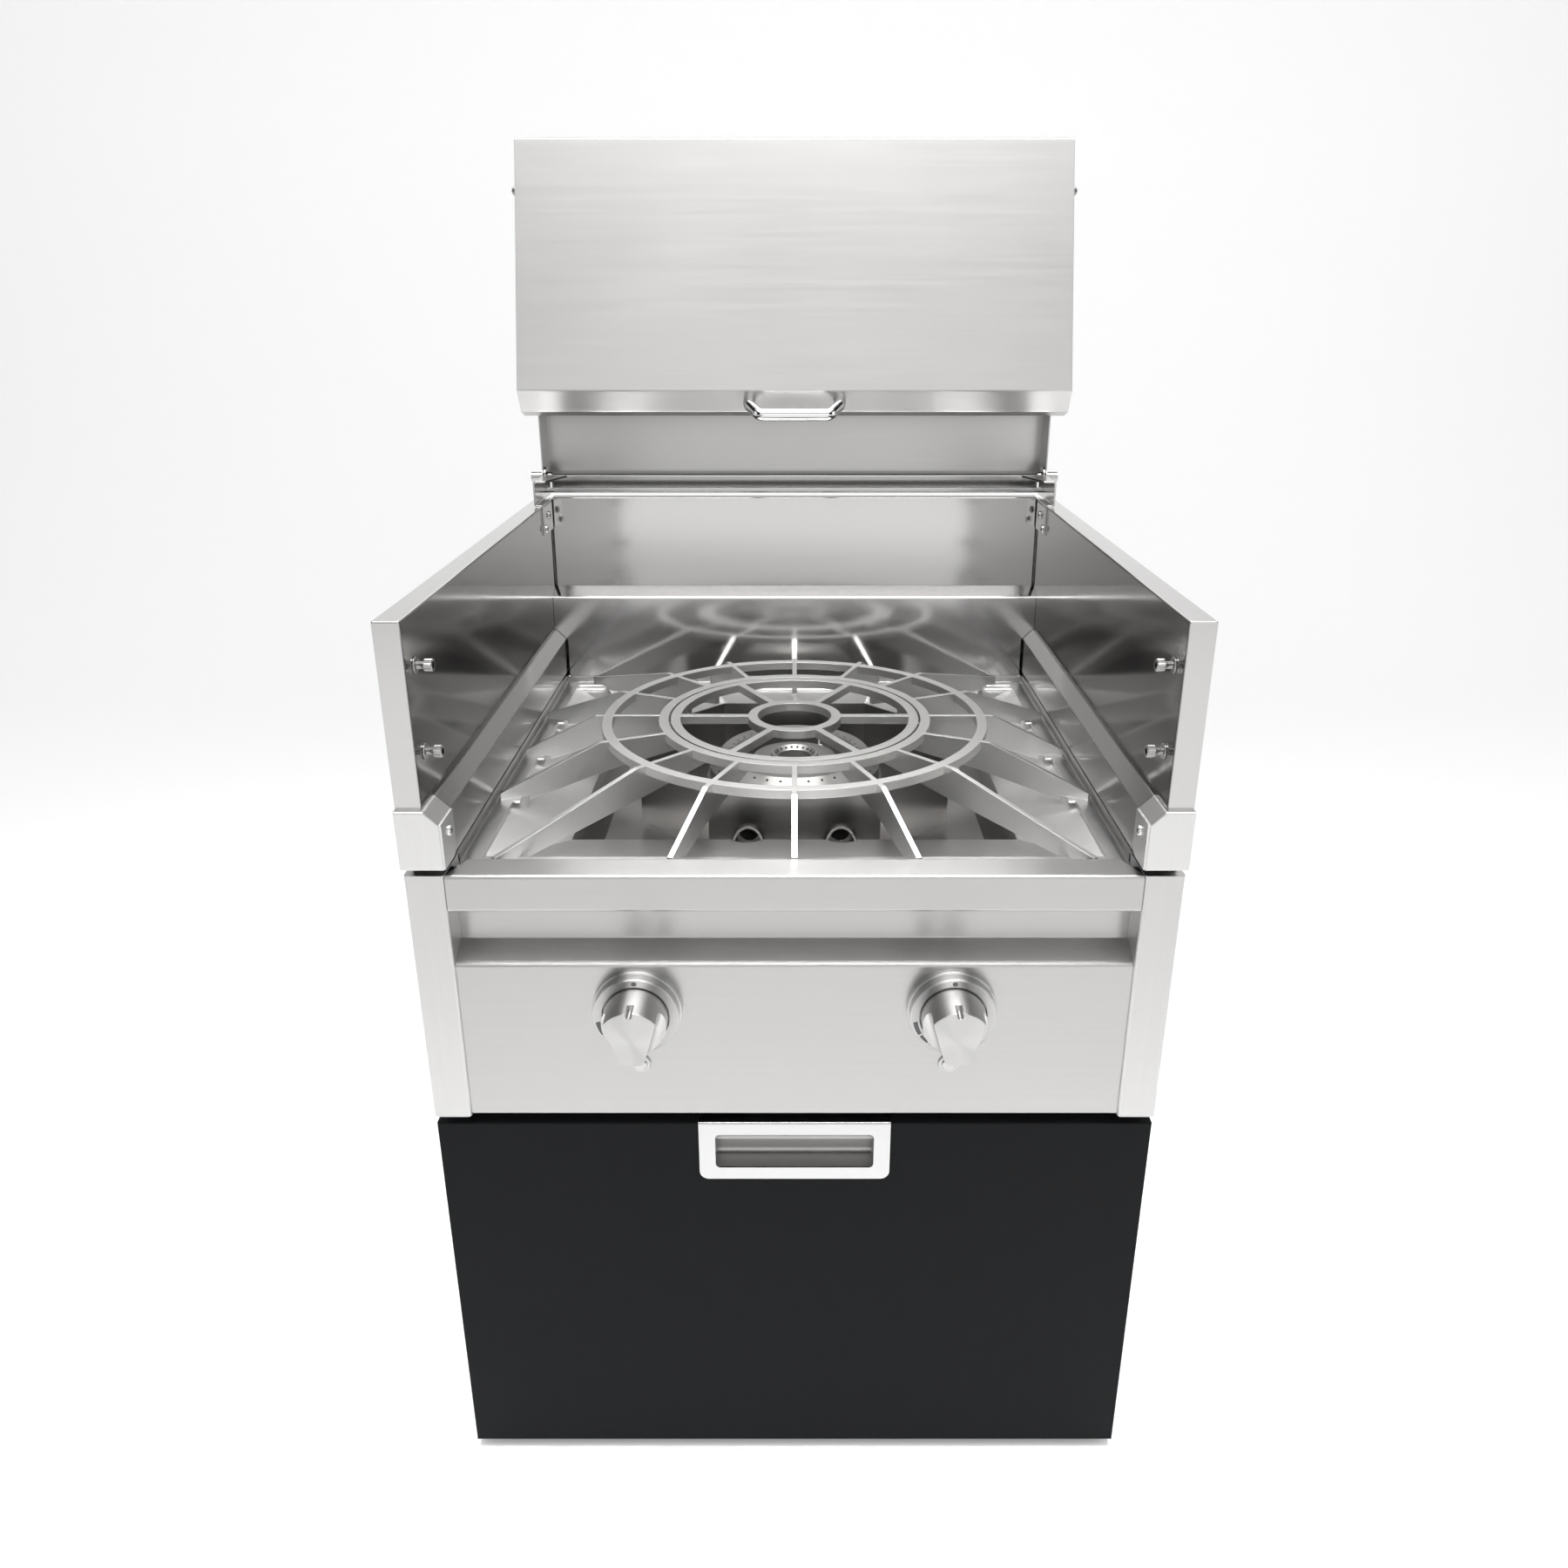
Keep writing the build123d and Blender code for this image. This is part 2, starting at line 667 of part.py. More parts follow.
def back_rail():
    slope = DECK_FRONT + LEDGE_SLOPE_Y
    line = [(DECK_FRONT, Z_RIM), (DECK_FRONT + RAIL_LEAN, Z_RIM + BACK_RAIL_H),
            (slope, back_rail_top()), (BEAM_BACK, back_rail_top()), (BEAM_BACK, Z_RIM)]
    wide = HALF - GUARD_T - SEAM
    rail = along_x(sheet(line, STEEL), -wide, wide)
    inner = HALF - BEAM_W
    low = Z_RIM - STEEL
    notch = outline((inner - REAR_GAP, low), (WIDTH, low), (WIDTH, Z_GUARD + SEAM),
                    (inner + BEAM_CHAMFER - SEAM, Z_GUARD + SEAM),
                    (inner - REAR_GAP, Z_GUARD - BEAM_CHAMFER - REAR_GAP + 2 * SEAM))
    notch = along_y(notch, DECK_FRONT - STEEL, BEAM_BACK + STEEL)
    return rail - notch - mirror(notch, Plane.YZ)


def rear_guard():
    front = DECK_FRONT + LEDGE_SLOPE_Y
    wide = HALF - GUARD_T - REAR_GAP
    low = back_rail_top()
    top = Z_GUARD_TOP + HEM_H
    side = outline((front, low), (GUARD_BACK, low), (GUARD_BACK, top), (front + REAR_GUARD_LEAN, top))
    shell = along_x(side, -wide, wide)
    shell = fillet(shell.edges().filter_by(Axis.X).group_by(Axis.Z)[-1], GUARD_EDGE_R)
    hollow = outline((front + STEEL, low - STEEL), (GUARD_BACK - STEEL, low - STEEL),
                     (GUARD_BACK - STEEL, top - STEEL), (front + REAR_GUARD_LEAN + STEEL, top - STEEL))
    shell -= along_x(hollow, -wide + STEEL, wide - STEEL)
    closed = HALF - GUARD_T - SEAM
    return shell + block(-closed, closed, GUARD_BACK - STEEL, GUARD_BACK, low, top - GUARD_EDGE_R)


# Lid hinge: bent brackets screwed to the side guards, a cross bar and two pins
def hinge_z():
    return Z_GUARD_TOP + HINGE_RISE


def ear_inner():
    return HALF - GUARD_T - BRACKET_T + BRACKET_STEP


def hinge_bracket():
    leg = HALF - GUARD_T - BRACKET_T
    step = Z_GUARD_TOP + BRACKET_T
    top = Z_GUARD_TOP + BRACKET_UP
    up = ear_inner()
    line = [(leg, Z_GUARD_TOP - BRACKET_LEG_H), (leg, step), (up, step), (up, top), (up - BRACKET_TAB, top)]
    bent = along_y(sheet(line, BRACKET_T), BRACKET_FRONT, BRACKET_BACK)
    slant = outline((up - BRACKET_TAB_FRONT, BRACKET_FRONT), (up - BRACKET_TAB - SEAM, BRACKET_BACK),
                    (up - BRACKET_TAB - SEAM, BRACKET_FRONT))
    bent -= along_z(slant, top - BRACKET_T, top + 2 * BRACKET_T)
    back = HINGE_Y + EAR_R
    face = outline((EAR_FRONT, step), (back, step), (back, hinge_z()), (EAR_FRONT, hinge_z()))
    ear = face + Pos(HINGE_Y, hinge_z()) * Circle(EAR_R)
    ear -= Pos(HINGE_Y, hinge_z()) * Circle(HINGE_PIN_R + RUN)
    return bent + along_x(ear, up, up + BRACKET_T)


def hinge_bar():
    low = Z_GUARD_TOP + BAR_RISE
    back = BAR_FRONT + BAR_W
    top = low + BAR_H
    line = [(back - BAR_HEM, top - BAR_HEM_DROP), (back - BAR_HEM, top), (back, top), (back, low),
            (BAR_FRONT, low), (BAR_FRONT, low + BAR_LIP)]
    return along_x(sheet(line, BRACKET_T, BAR_BEND), -ear_inner(), ear_inner())


def hinge_pins():
    nut = HINGE_HEAD_R
    flange = LID_REAR_HALF_W + SEAM
    inner = ear_inner()
    profile = [(0, nut), (HINGE_HEAD_R, nut), (HINGE_HEAD_R, 0), (HINGE_PIN_R, 0),
               (HINGE_PIN_R, inner - flange), (HINGE_HEAD_R, inner - flange),
               (HINGE_HEAD_R, inner - flange - HINGE_HEAD_L), (0, inner - flange - HINGE_HEAD_L)]
    right = turned(profile, facing_in(inner, HINGE_Y, hinge_z()))
    return [right, mirror(right, Plane.YZ)]


# Folding lid, drawn open: the rear half stands upright, the front half hangs from its fold pins
def fold_y():
    return HINGE_Y + LID_FOLD_BACK


def fold_z():
    return hinge_z() + LID_REACH


def lid_rear():
    back = HINGE_Y + LID_SKIN_BACK
    front = back - LID_REAR_FLANGE
    low = hinge_z() + LID_REAR_START
    top = fold_z() + LID_REAR_OVER
    skin = sheet([(back, low), (back, top), (back - LID_TRIM_DEEP, top)][::-1], STEEL)
    lid = along_x(skin, -LID_REAR_HALF_W, LID_REAR_HALF_W)
    side = outline((back, low), (back, top), (back - LID_TRIM_DEEP, top), (front, top - LID_TRIM),
                   (front, hinge_z()))
    side += Pos(HINGE_Y, hinge_z()) * Circle(LID_EAR_R)
    side -= Pos(HINGE_Y, hinge_z()) * Circle(HINGE_PIN_R + RUN)
    side -= Pos(fold_y(), fold_z()) * Circle(FOLD_PIN_R + RUN)
    for x in (-LID_REAR_HALF_W, LID_REAR_HALF_W - STEEL):
        lid += along_x(side, x, x + STEEL)
    return lid


def lid_front_place():
    """Turns the front half from its closed, level place to the open one."""
    return Pos(0, fold_y(), fold_z()) * Rot(90 - LID_LEAN, 0, 0)


def lid_front():
    nose = FRONT_REACH + FRONT_BEVEL
    low = FRONT_SKIN - FRONT_BEVEL
    line = [(-nose, low - FRONT_LIP), (-nose, low), (-FRONT_REACH, FRONT_SKIN), (FRONT_OVERLAP, FRONT_SKIN),
            (FRONT_OVERLAP, FRONT_SKIN - FRONT_HEM)]
    lid = along_x(sheet(line, STEEL), -LID_FRONT_HALF_W, LID_FRONT_HALF_W)
    rim = FRONT_SKIN - FRONT_FLANGE
    skin = FRONT_SKIN - STEEL / 2
    side = outline((FRONT_OVERLAP - STEEL, skin), (-FRONT_REACH, skin), (-nose + STEEL / 2, low),
                   (-nose + STEEL / 2, low - FRONT_LIP), (-FRONT_REACH, rim), (-FRONT_BEVEL, rim),
                   (FRONT_SKIN, -2 * FOLD_HEAD_R), (FRONT_OVERLAP - STEEL, 0))
    side -= Circle(FOLD_PIN_R + RUN)
    for x in (-LID_FRONT_HALF_W, LID_FRONT_HALF_W - STEEL):
        lid += along_x(side, x, x + STEEL)
    return lid_front_place() * lid


def lid_handle():
    foot = Plane((0, -FRONT_REACH - FRONT_BEVEL / 2, FRONT_SKIN - FRONT_BEVEL / 2), x_dir=(1, 0, 0),
                 z_dir=(0, 1, 1))
    points = [(-HANDLE_HALF, 0), (-HANDLE_HALF, HANDLE_FOOT), (-HANDLE_BAR_HALF, HANDLE_STAND),
              (HANDLE_BAR_HALF, HANDLE_STAND), (HANDLE_HALF, HANDLE_FOOT), (HANDLE_HALF, 0)]
    lying = Plane(foot.origin, x_dir=(1, 0, 0), z_dir=foot.z_dir)
    rise = Vector(0, -1, 1).normalized()
    route = [lying.origin + Vector(x, 0, 0) + rise * out for x, out in points]
    path = FilletPolyline(*route, radius=HANDLE_BEND)
    start = Plane(route[0], x_dir=(1, 0, 0), z_dir=rise)
    return lid_front_place() * sweep(start * Circle(HANDLE_R), path)


def fold_pins():
    flange = LID_REAR_HALF_W - STEEL
    cap = flange - LID_FRONT_HALF_W - SEAM
    profile = [(0, 0), (FOLD_PIN_R, 0), (FOLD_PIN_R, cap), (FOLD_HEAD_R, cap),
               (FOLD_HEAD_R, cap - FOLD_HEAD_L / 2), (FOLD_HEAD_R / 2, cap - FOLD_HEAD_L),
               (0, cap - FOLD_HEAD_L)]
    place = facing_in(flange, fold_y(), fold_z())
    right = turned(profile, place) + place * extrude(hexagon(FOLD_NUT_AF), FOLD_NUT_L)
    return [right, mirror(right, Plane.YZ)]


# Burner pan, shield and burner
def pan_rect(inset, z, wall=0.0):
    half = HALF - RIM_SIDE - PAN_CLEAR - inset - wall
    y0 = RIM_W + PAN_CLEAR + inset + wall
    y1 = DECK_FRONT - PAN_CLEAR - inset - wall
    return Pos(0, (y0 + y1) / 2, z) * Rectangle(2 * half, y1 - y0)


def pan_body(wall, lift):
    ledge = Z_RIM - LEDGE_DROP + STEEL
    drop = ledge - PAN_DROP
    floor = PAN_FLOOR_Z - STEEL
    sections = [pan_rect(PAN_FLANGE, ledge, wall), pan_rect(PAN_FLANGE, drop + lift, wall),
                pan_rect(PAN_FLANGE + PAN_SHELF, drop - PAN_SHELF_FALL + lift, wall),
                pan_rect(PAN_FLANGE + PAN_SHELF + PAN_WALL_IN, floor + lift, wall)]
    return loft(sections, ruled=True)


def burner_pan():
    ledge = Z_RIM - LEDGE_DROP
    flange = extrude(pan_rect(0, ledge), STEEL)
    pan = flange + pan_body(0, 0) - pan_body(STEEL, STEEL)
    for angle in spoke_angles():
        if ends_at_side(angle):
            pan += pan_tab(angle)
    mouth = RIM_W + PAN_CLEAR + PAN_FLANGE + PAN_SHELF + HORN_R / 2
    for x in (-HORN_X, HORN_X):
        pan -= Pos(x, feed_y(), PAN_FLOOR_Z) * Cylinder(FEED_R + SEAM, 4 * STEEL)
        pan -= along_z(Pos(x, mouth) * Circle(HORN_R), PAN_FLOOR_Z + HORN_R, ledge)
    return pan


def pan_tab(angle):
    """A lug on the pan's flange under one spoke that ends at the left or the right side."""
    side = 1 if sin(radians(angle)) > 0 else -1
    edge = HALF - RIM_SIDE - PAN_CLEAR - PAN_FLANGE
    y = GRATE_Y - (edge - PAN_TAB / 2) * cos(radians(angle)) / abs(sin(radians(angle)))
    x0, x1 = sorted((side * (edge - PAN_TAB), side * (edge + STEEL)))
    ledge = Z_RIM - LEDGE_DROP
    return block(x0, x1, y - PAN_TAB_W / 2, y + PAN_TAB_W / 2, ledge, ledge + STEEL)


def feed_y():
    return GRATE_Y - FEED_SET_BACK


def burner_shield():
    x, y = SHIELD_W / 2, SHIELD_D / 2
    cut = SHIELD_CUT
    ring = outline((x, cut - y), (x, y - cut), (x - cut, y), (cut - x, y), (-x, y - cut), (-x, cut - y),
                   (cut - x, -y), (x - cut, -y))
    ring -= offset(ring, -STEEL)
    shield = along_z(Pos(0, GRATE_Y) * ring, PAN_FLOOR_Z, SHIELD_TOP)
    for x in (-HORN_X, HORN_X):
        shield -= facing_front(x, GRATE_Y - y, HORN_Z) * Cylinder(HORN_R + SEAM, 8 * STEEL)
    return shield


def burner_body():
    foot = PAN_FLOOR_Z + BODY_FOOT_H
    profile = [(0, PAN_FLOOR_Z), (BODY_FOOT_R, PAN_FLOOR_Z), (BODY_FOOT_R, foot),
               (BODY_R, foot + BODY_FOOT_H), (BODY_R, BODY_TOP), (COLUMN_R, BODY_TOP),
               (COLUMN_R, COLUMN_TOP), (0, COLUMN_TOP)]
    body = turned(profile, Pos(0, GRATE_Y, 0))
    shield = GRATE_Y - SHIELD_D / 2
    mouth, neck = shield - HORN_REACH, shield + HORN_BELL
    slant = outline((mouth - STEEL, HORN_Z - HORN_R / 2), (shield - STEEL, HORN_Z + HORN_R + STEEL),
                    (mouth - STEEL, HORN_Z + HORN_R + STEEL))
    for x in (-HORN_X, HORN_X):
        axis = Pos(x, HORN_Z)
        horn = along_y(axis * Circle(HORN_R), mouth, neck)
        horn += along_y(axis * Circle(HORN_TUBE_R), neck, GRATE_Y - BODY_FOOT_R)
        bore = along_y(axis * Circle(HORN_R - HORN_WALL), mouth - STEEL, neck - HORN_WALL)
        bore += along_y(axis * Circle(HORN_TUBE_R - HORN_WALL), mouth, neck + HORN_DEEP)
        body = body + horn - bore - along_x(slant, x - HORN_R, x + HORN_R)
    return body


def ports(count, radius, z, tilt, turn=0.5):
    """Drillings round the burner axis, tilted up from straight out."""
    drill = Rot(0, 90 - tilt, 0) * Cylinder(PORT_R, 2 * PORT_DEEP)
    return [Pos(0, GRATE_Y, z) * Rot(0, 0, 360 * (i + turn) / count) * Pos(radius, 0, 0) * drill
            for i in range(count)]


def outer_burner_ring():
    shoulder = RING_TOP - RING_BEVEL
    profile = [(RING_IN, BODY_TOP), (RING_OUT, BODY_TOP), (RING_OUT, shoulder),
               (RING_OUT - RING_BEVEL, RING_TOP), (RING_IN + RING_EDGE, RING_TOP),
               (RING_IN, RING_TOP - RING_EDGE)]
    ring = turned(profile, Pos(0, GRATE_Y, 0))
    low, high = RING_BEVEL / 4, 3 * RING_BEVEL / 4
    ring -= ports(RING_PORTS, RING_OUT - low, shoulder + low, 45)
    ring -= ports(RING_PORTS, RING_OUT - high, shoulder + high, 45, 0)
    return ring - ports(RING_PORTS, RING_IN + RING_EDGE + 2 * PORT_R, RING_TOP, 90)


def inner_burner_head():
    step = COLUMN_TOP + HEAD_STEP
    cone = HEAD_BORE + HEAD_CONE
    profile = [(HEAD_BORE, COLUMN_TOP), (HEAD_R, COLUMN_TOP), (HEAD_R, step),
               (HEAD_R - STEEL, HEAD_SHOULDER), (HEAD_PORT_RING, HEAD_SHOULDER),
               (HEAD_PORT_RING - STEEL, HEAD_TOP), (cone, HEAD_TOP), (HEAD_BORE, HEAD_TOP - HEAD_CONE)]
    head = turned(profile, Pos(0, GRATE_Y, 0))
    head -= ports(HEAD_PORTS, HEAD_BORE + HEAD_CONE / 2, HEAD_TOP - HEAD_CONE / 2, 135)
    return head - ports(HEAD_PORTS, HEAD_R, (COLUMN_TOP + step) / 2, 0)


def spark_electrode():
    x = SPARK_R * sin(radians(SPARK_ANGLE))
    y = GRATE_Y - SPARK_R * cos(radians(SPARK_ANGLE))
    neck = RING_TOP - RING_BEVEL
    profile = [(0, BODY_TOP), (SPARK_BODY_R, BODY_TOP), (SPARK_BODY_R, neck), (SPARK_WIRE_R, neck + STEEL),
               (SPARK_WIRE_R, RING_TOP), (0, RING_TOP)]
    return turned(profile, Pos(x, y, 0))


# Gas train behind the control panel
def valve_back():
    return PANEL_SET_BACK + STEEL + VALVE_NOSE_L + VALVE_BLOCK


def pipe_y():
    return PANEL_SET_BACK + STEEL + VALVE_NOSE_L + VALVE_BLOCK / 2


def pipe_z():
    return knob_z() - PIPE_DROP


def valve():
    y0 = PANEL_SET_BACK + STEEL
    z = knob_z()
    body = along_y(Pos(VALVE_X, z) * Circle(VALVE_NOSE_R), y0, y0 + VALVE_NOSE_L)
    body += along_y(Pos(VALVE_X, z) * RectangleRounded(VALVE_BLOCK, VALVE_BLOCK, VALVE_BLOCK / 6),
                    y0 + VALVE_NOSE_L, valve_back())
    body += along_z(Pos(VALVE_X, pipe_y()) * Circle(VALVE_LEG_R), pipe_z() + PIPE_BOSS_H, z)
    return body - along_y(Pos(VALVE_X, z) * Circle(STEM_R + RUN), y0 - STEEL, y0 + STEM_TAIL + BUTTON_L)


def gas_manifold():
    y, z = pipe_y(), pipe_z()
    start = -VALVE_X - PIPE_END
    path = FilletPolyline((start, y, z), (HALF - PIPE_SIDE, y, z),
                          (HALF - PIPE_SIDE, DEPTH - INLET_FROM_BACK, z), radius=PIPE_BEND)
    pipe = sweep(Plane((start, y, z), z_dir=(1, 0, 0)) * Circle(PIPE_R), path)
    for x in (-VALVE_X, VALVE_X):
        pipe += along_z(Pos(x, y) * Circle(PIPE_BOSS_R), z, z + PIPE_BOSS_H)
    return pipe


def gas_inlet():
    y = DEPTH - INLET_FROM_BACK
    place = Pos(HALF - PIPE_SIDE, pipe_z())
    return (along_y(place * hexagon(INLET_AF), y, y + INLET_HEX_L)
            + along_y(place * Circle(INLET_R), y + INLET_HEX_L, INLET_TIP))


def feed_pipe():
    y, z = valve_back(), knob_z()
    path = FilletPolyline((VALVE_X, y, z), (VALVE_X, y + FEED_BACK, z), (HORN_X, feed_y(), z),
                          (HORN_X, feed_y(), PAN_FLOOR_Z), radius=FEED_BEND)
    return sweep(Plane((VALVE_X, y, z), z_dir=(0, 1, 0)) * Circle(FEED_R), path)


# Knobs, bezels, stems and igniter buttons
def knob_place():
    return facing_front(VALVE_X, PANEL_SET_BACK, knob_z())


def bezel():
    well = BEZEL_DEEP - BEZEL_WELL
    rim = BEZEL_FRONT_R - BEZEL_EDGE
    profile = [(BEZEL_HOLE_R, 0), (BEZEL_R, 0), (BEZEL_R, BEZEL_BASE_T - BEZEL_EDGE),
               (BEZEL_R - BEZEL_EDGE, BEZEL_BASE_T), (BEZEL_FRONT_R, BEZEL_BASE_T),
               (BEZEL_FRONT_R, BEZEL_DEEP - BEZEL_EDGE), (rim, BEZEL_DEEP),
               (BEZEL_WELL_R, BEZEL_DEEP - BEZEL_DISH), (BEZEL_WELL_R, well), (BEZEL_HOLE_R, well)]
    return turned(profile, knob_place())


def valve_stem():
    return knob_place() * Pos(0, 0, (STEM_FRONT - STEM_TAIL) / 2) * Cylinder(STEM_R, STEM_FRONT + STEM_TAIL)


def knob():
    tip = KNOB_GAP + KNOB_L
    round_part = Pos(0, 0, KNOB_GAP + KNOB_L / 2) * Cylinder(KNOB_R, KNOB_L)
    round_part = fillet(round_part.edges().sort_by(Axis.Z)[-1], KNOB_EDGE_R)
    grip = KNOB_GAP + KNOB_BASE_L
    for side in (-1, 1):
        cut = outline((side * KNOB_TOP_HALF, KNOB_R), (side * KNOB_FOOT_HALF, -KNOB_R),
                      (side * 2 * KNOB_R, -KNOB_R), (side * 2 * KNOB_R, KNOB_R))
        scoop = along_z(cut, grip, tip + STEEL)
        root = scoop.faces().sort_by(Axis.Z)[0].edges().sort_by_distance((0, 0, grip))[0]
        round_part -= fillet(root, KNOB_SCOOP_R)
    foot = KNOB_FLAT - KNOB_R
    round_part -= block(-KNOB_R, KNOB_R, -KNOB_R, foot, grip + KNOB_SCOOP_R, tip + STEEL)
    corners = round_part.edges().filter_by(Axis.Z).filter_by_position(Axis.Y, foot - SEAM, foot + SEAM)
    round_part = fillet(corners, KNOB_FOOT_R)
    slot = RectangleRounded(KNOB_NOTCH_W, 2 * KNOB_NOTCH_DEEP, KNOB_NOTCH_W / 2 - RUN)
    notch = along_z(Pos(0, KNOB_R) * slot, tip - KNOB_NOTCH_L, tip + STEEL)
    bore = Pos(0, 0, (KNOB_GAP + STEM_FRONT + SEAM) / 2)
    hole = bore * Cylinder(STEM_R + RUN, STEM_FRONT + SEAM - KNOB_GAP)
    return knob_place() * (round_part - notch - hole)


def button_place():
    return facing_front(VALVE_X, PANEL_SET_BACK, button_z())


def button_housing():
    bore = BUTTON_R + RUN
    barrel = BUTTON_HOLE_R - RUN
    profile = [(0, -BUTTON_BARREL_L), (barrel, -BUTTON_BARREL_L), (barrel, 0), (BUTTON_FLANGE_R, 0),
               (BUTTON_FLANGE_R - BUTTON_EDGE, BUTTON_FLANGE_T), (bore, BUTTON_FLANGE_T),
               (bore, BUTTON_FLANGE_T - BUTTON_WELL), (0, BUTTON_FLANGE_T - BUTTON_WELL)]
    return turned(profile, button_place())


def igniter_button():
    face = BUTTON_FLANGE_T + BUTTON_PROUD
    root = face - BUTTON_L
    profile = [(0, root), (BUTTON_R, root), (BUTTON_R, face - RUN * 10), (BUTTON_R - RUN * 10, face),
               (0, face)]
    return turned(profile, button_place())


# Grate: two flat rings on sixteen plate spokes, with a loose insert in the middle
def flat_ring(outer, inner):
    return along_z(Circle(outer) - Circle(inner), GRATE_TOP - RING_T, GRATE_TOP)


def spoke_angles():
    """Turns of the spokes about the grate's axis, from the front."""
    return [360 * i / SPOKES for i in range(SPOKES)]


def ends_at_side(angle):
    """Whether a spoke ends at the left or the right side of the pan."""
    return abs(sin(radians(angle))) > cos(radians(30))


def spoke(angle):
    """One plate spoke, level between the rings and falling to the pan's flange outside them."""
    aside = max(RIM_SIDE, BEAM_W) - RIM_SIDE + GRATE_CLEAR
    across = max(abs(sin(radians(angle))) / (HALF - RIM_SIDE - aside),
                 -cos(radians(angle)) / (DECK_FRONT - GRATE_CLEAR - GRATE_Y),
                 cos(radians(angle)) / (GRATE_Y - RIM_W - GRATE_CLEAR))
    end = 1 / across
    face_on = max(abs(sin(radians(angle))), abs(cos(radians(angle))))
    shelf = PAN_FLANGE + (PAN_TAB if ends_at_side(angle) else 0)
    clear = aside if ends_at_side(angle) else GRATE_CLEAR
    rest = end - (PAN_CLEAR + shelf - clear + SPOKE_T) / face_on
    seat = Z_RIM - LEDGE_DROP + STEEL
    inner = INNER_RING_R - RING_W
    under = GRATE_TOP - RING_T
    face = outline((inner - SPOKE_TIP, under), (inner + STEEL, under), (inner + STEEL, GRATE_TOP),
                   (OUTER_RING_R + SPOKE_LEVEL, GRATE_TOP), (end, seat + SPOKE_END_H), (end, seat),
                   (rest, seat), (rest, seat - SPOKE_STEP), (OUTER_RING_R, GRATE_TOP - SPOKE_H),
                   (inner - SPOKE_TIP, GRATE_TOP - SPOKE_ROOT_H))
    return Rot(0, 0, angle - 90) * along_y(face, -SPOKE_T / 2, SPOKE_T / 2)


def grate():
    rings = flat_ring(OUTER_RING_R, OUTER_RING_R - RING_W) + flat_ring(INNER_RING_R, INNER_RING_R - RING_W)
    spokes = [spoke(angle) for angle in spoke_angles()]
    return Pos(0, GRATE_Y, 0) * (rings + spokes)


def grate_insert():
    rim = INNER_RING_R - RING_W - INSERT_GAP
    insert = flat_ring(rim, rim - RING_W) + flat_ring(INSERT_HUB_R, INSERT_HUB_R - RING_W)
    start = INSERT_HUB_R - RING_W / 2
    length = rim - RING_W / 2 - start
    for i in range(INSERT_BARS):
        bar = Pos(start + length / 2, 0, GRATE_TOP - RING_T / 2) * Box(length, INSERT_BAR_W, RING_T)
        insert += Rot(0, 0, 360 * i / INSERT_BARS) * bar
    return Pos(0, GRATE_Y, 0) * insert


def pair(name, shape):
    """A right-hand piece and its mirror image."""
    return {name + "_right": shape, name + "_left": mirror(shape, Plane.YZ)}


def both(shape):
    """A right-hand piece and its mirror image in one node."""
    return [shape, mirror(shape, Plane.YZ)]


nodes = {
    **pair("cabinet_side", cabinet_side()),
    "cabinet_back": cabinet_back(),
    "cabinet_floor": cabinet_floor(),
    "levelling_feet": levelling_feet(),
    "drawer_front": drawer_front(),
    "drawer_pull": drawer_pull(),
    "pull_cup": pull_cup(),
    "drawer_tray": drawer_tray(),
    "runners_cabinet": both(runner("cabinet")),
    "runners_middle": both(runner("middle")),
    "runners_drawer": both(runner("drawer")),
    **pair("post", post()),
    "control_panel": control_panel(),
    "front_rail": front_rail(),
    **pair("unit_side", unit_side()),
    "unit_back": unit_back(),
    **pair("side_beam", side_beam()),
    "beam_strips": both(beam_strip()),
    **pair("beam_cap", beam_cap()),
    **pair("side_guard", side_guard()),
    "guard_bolts": guard_bolts(),
    "back_rail": back_rail(),
    "rear_guard": rear_guard(),
    **pair("hinge_bracket", hinge_bracket()),
    "hinge_bar": hinge_bar(),
    "hinge_pins": hinge_pins(),
    "lid_rear": lid_rear(),
    "lid_front": lid_front(),
    "lid_handle": lid_handle(),
    "fold_pins": fold_pins(),
    "burner_pan": burner_pan(),
    "burner_shield": burner_shield(),
    "burner_body": burner_body(),
    "outer_burner_ring": outer_burner_ring(),
    "inner_burner_head": inner_burner_head(),
    "spark_electrode": spark_electrode(),
    **pair("valve", valve()),
    "gas_manifold": gas_manifold(),
    "gas_inlet": gas_inlet(),
    "feed_pipes": both(feed_pipe()),
    **pair("bezel", bezel()),
    **pair("valve_stem", valve_stem()),
    **pair("knob", knob()),
    "button_housings": both(button_housing()),
    **pair("igniter_button", igniter_button()),
    "grate": grate(),
    "grate_insert": grate_insert(),
}

os.makedirs("parts", exist_ok=True)
for node, shape in nodes.items():
    pieces = shape if isinstance(shape, list) else [shape]
    solids = [Pos(0, SHIFT_Y, 0) * solid for piece in pieces for solid in piece.solids()]
    export_step(Compound(solids) if len(solids) > 1 else solids[0], f"parts/{node}.step")
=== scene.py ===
import bpy
import bmesh
from math import cos, pi, radians, sin
from mathutils import Matrix, Vector


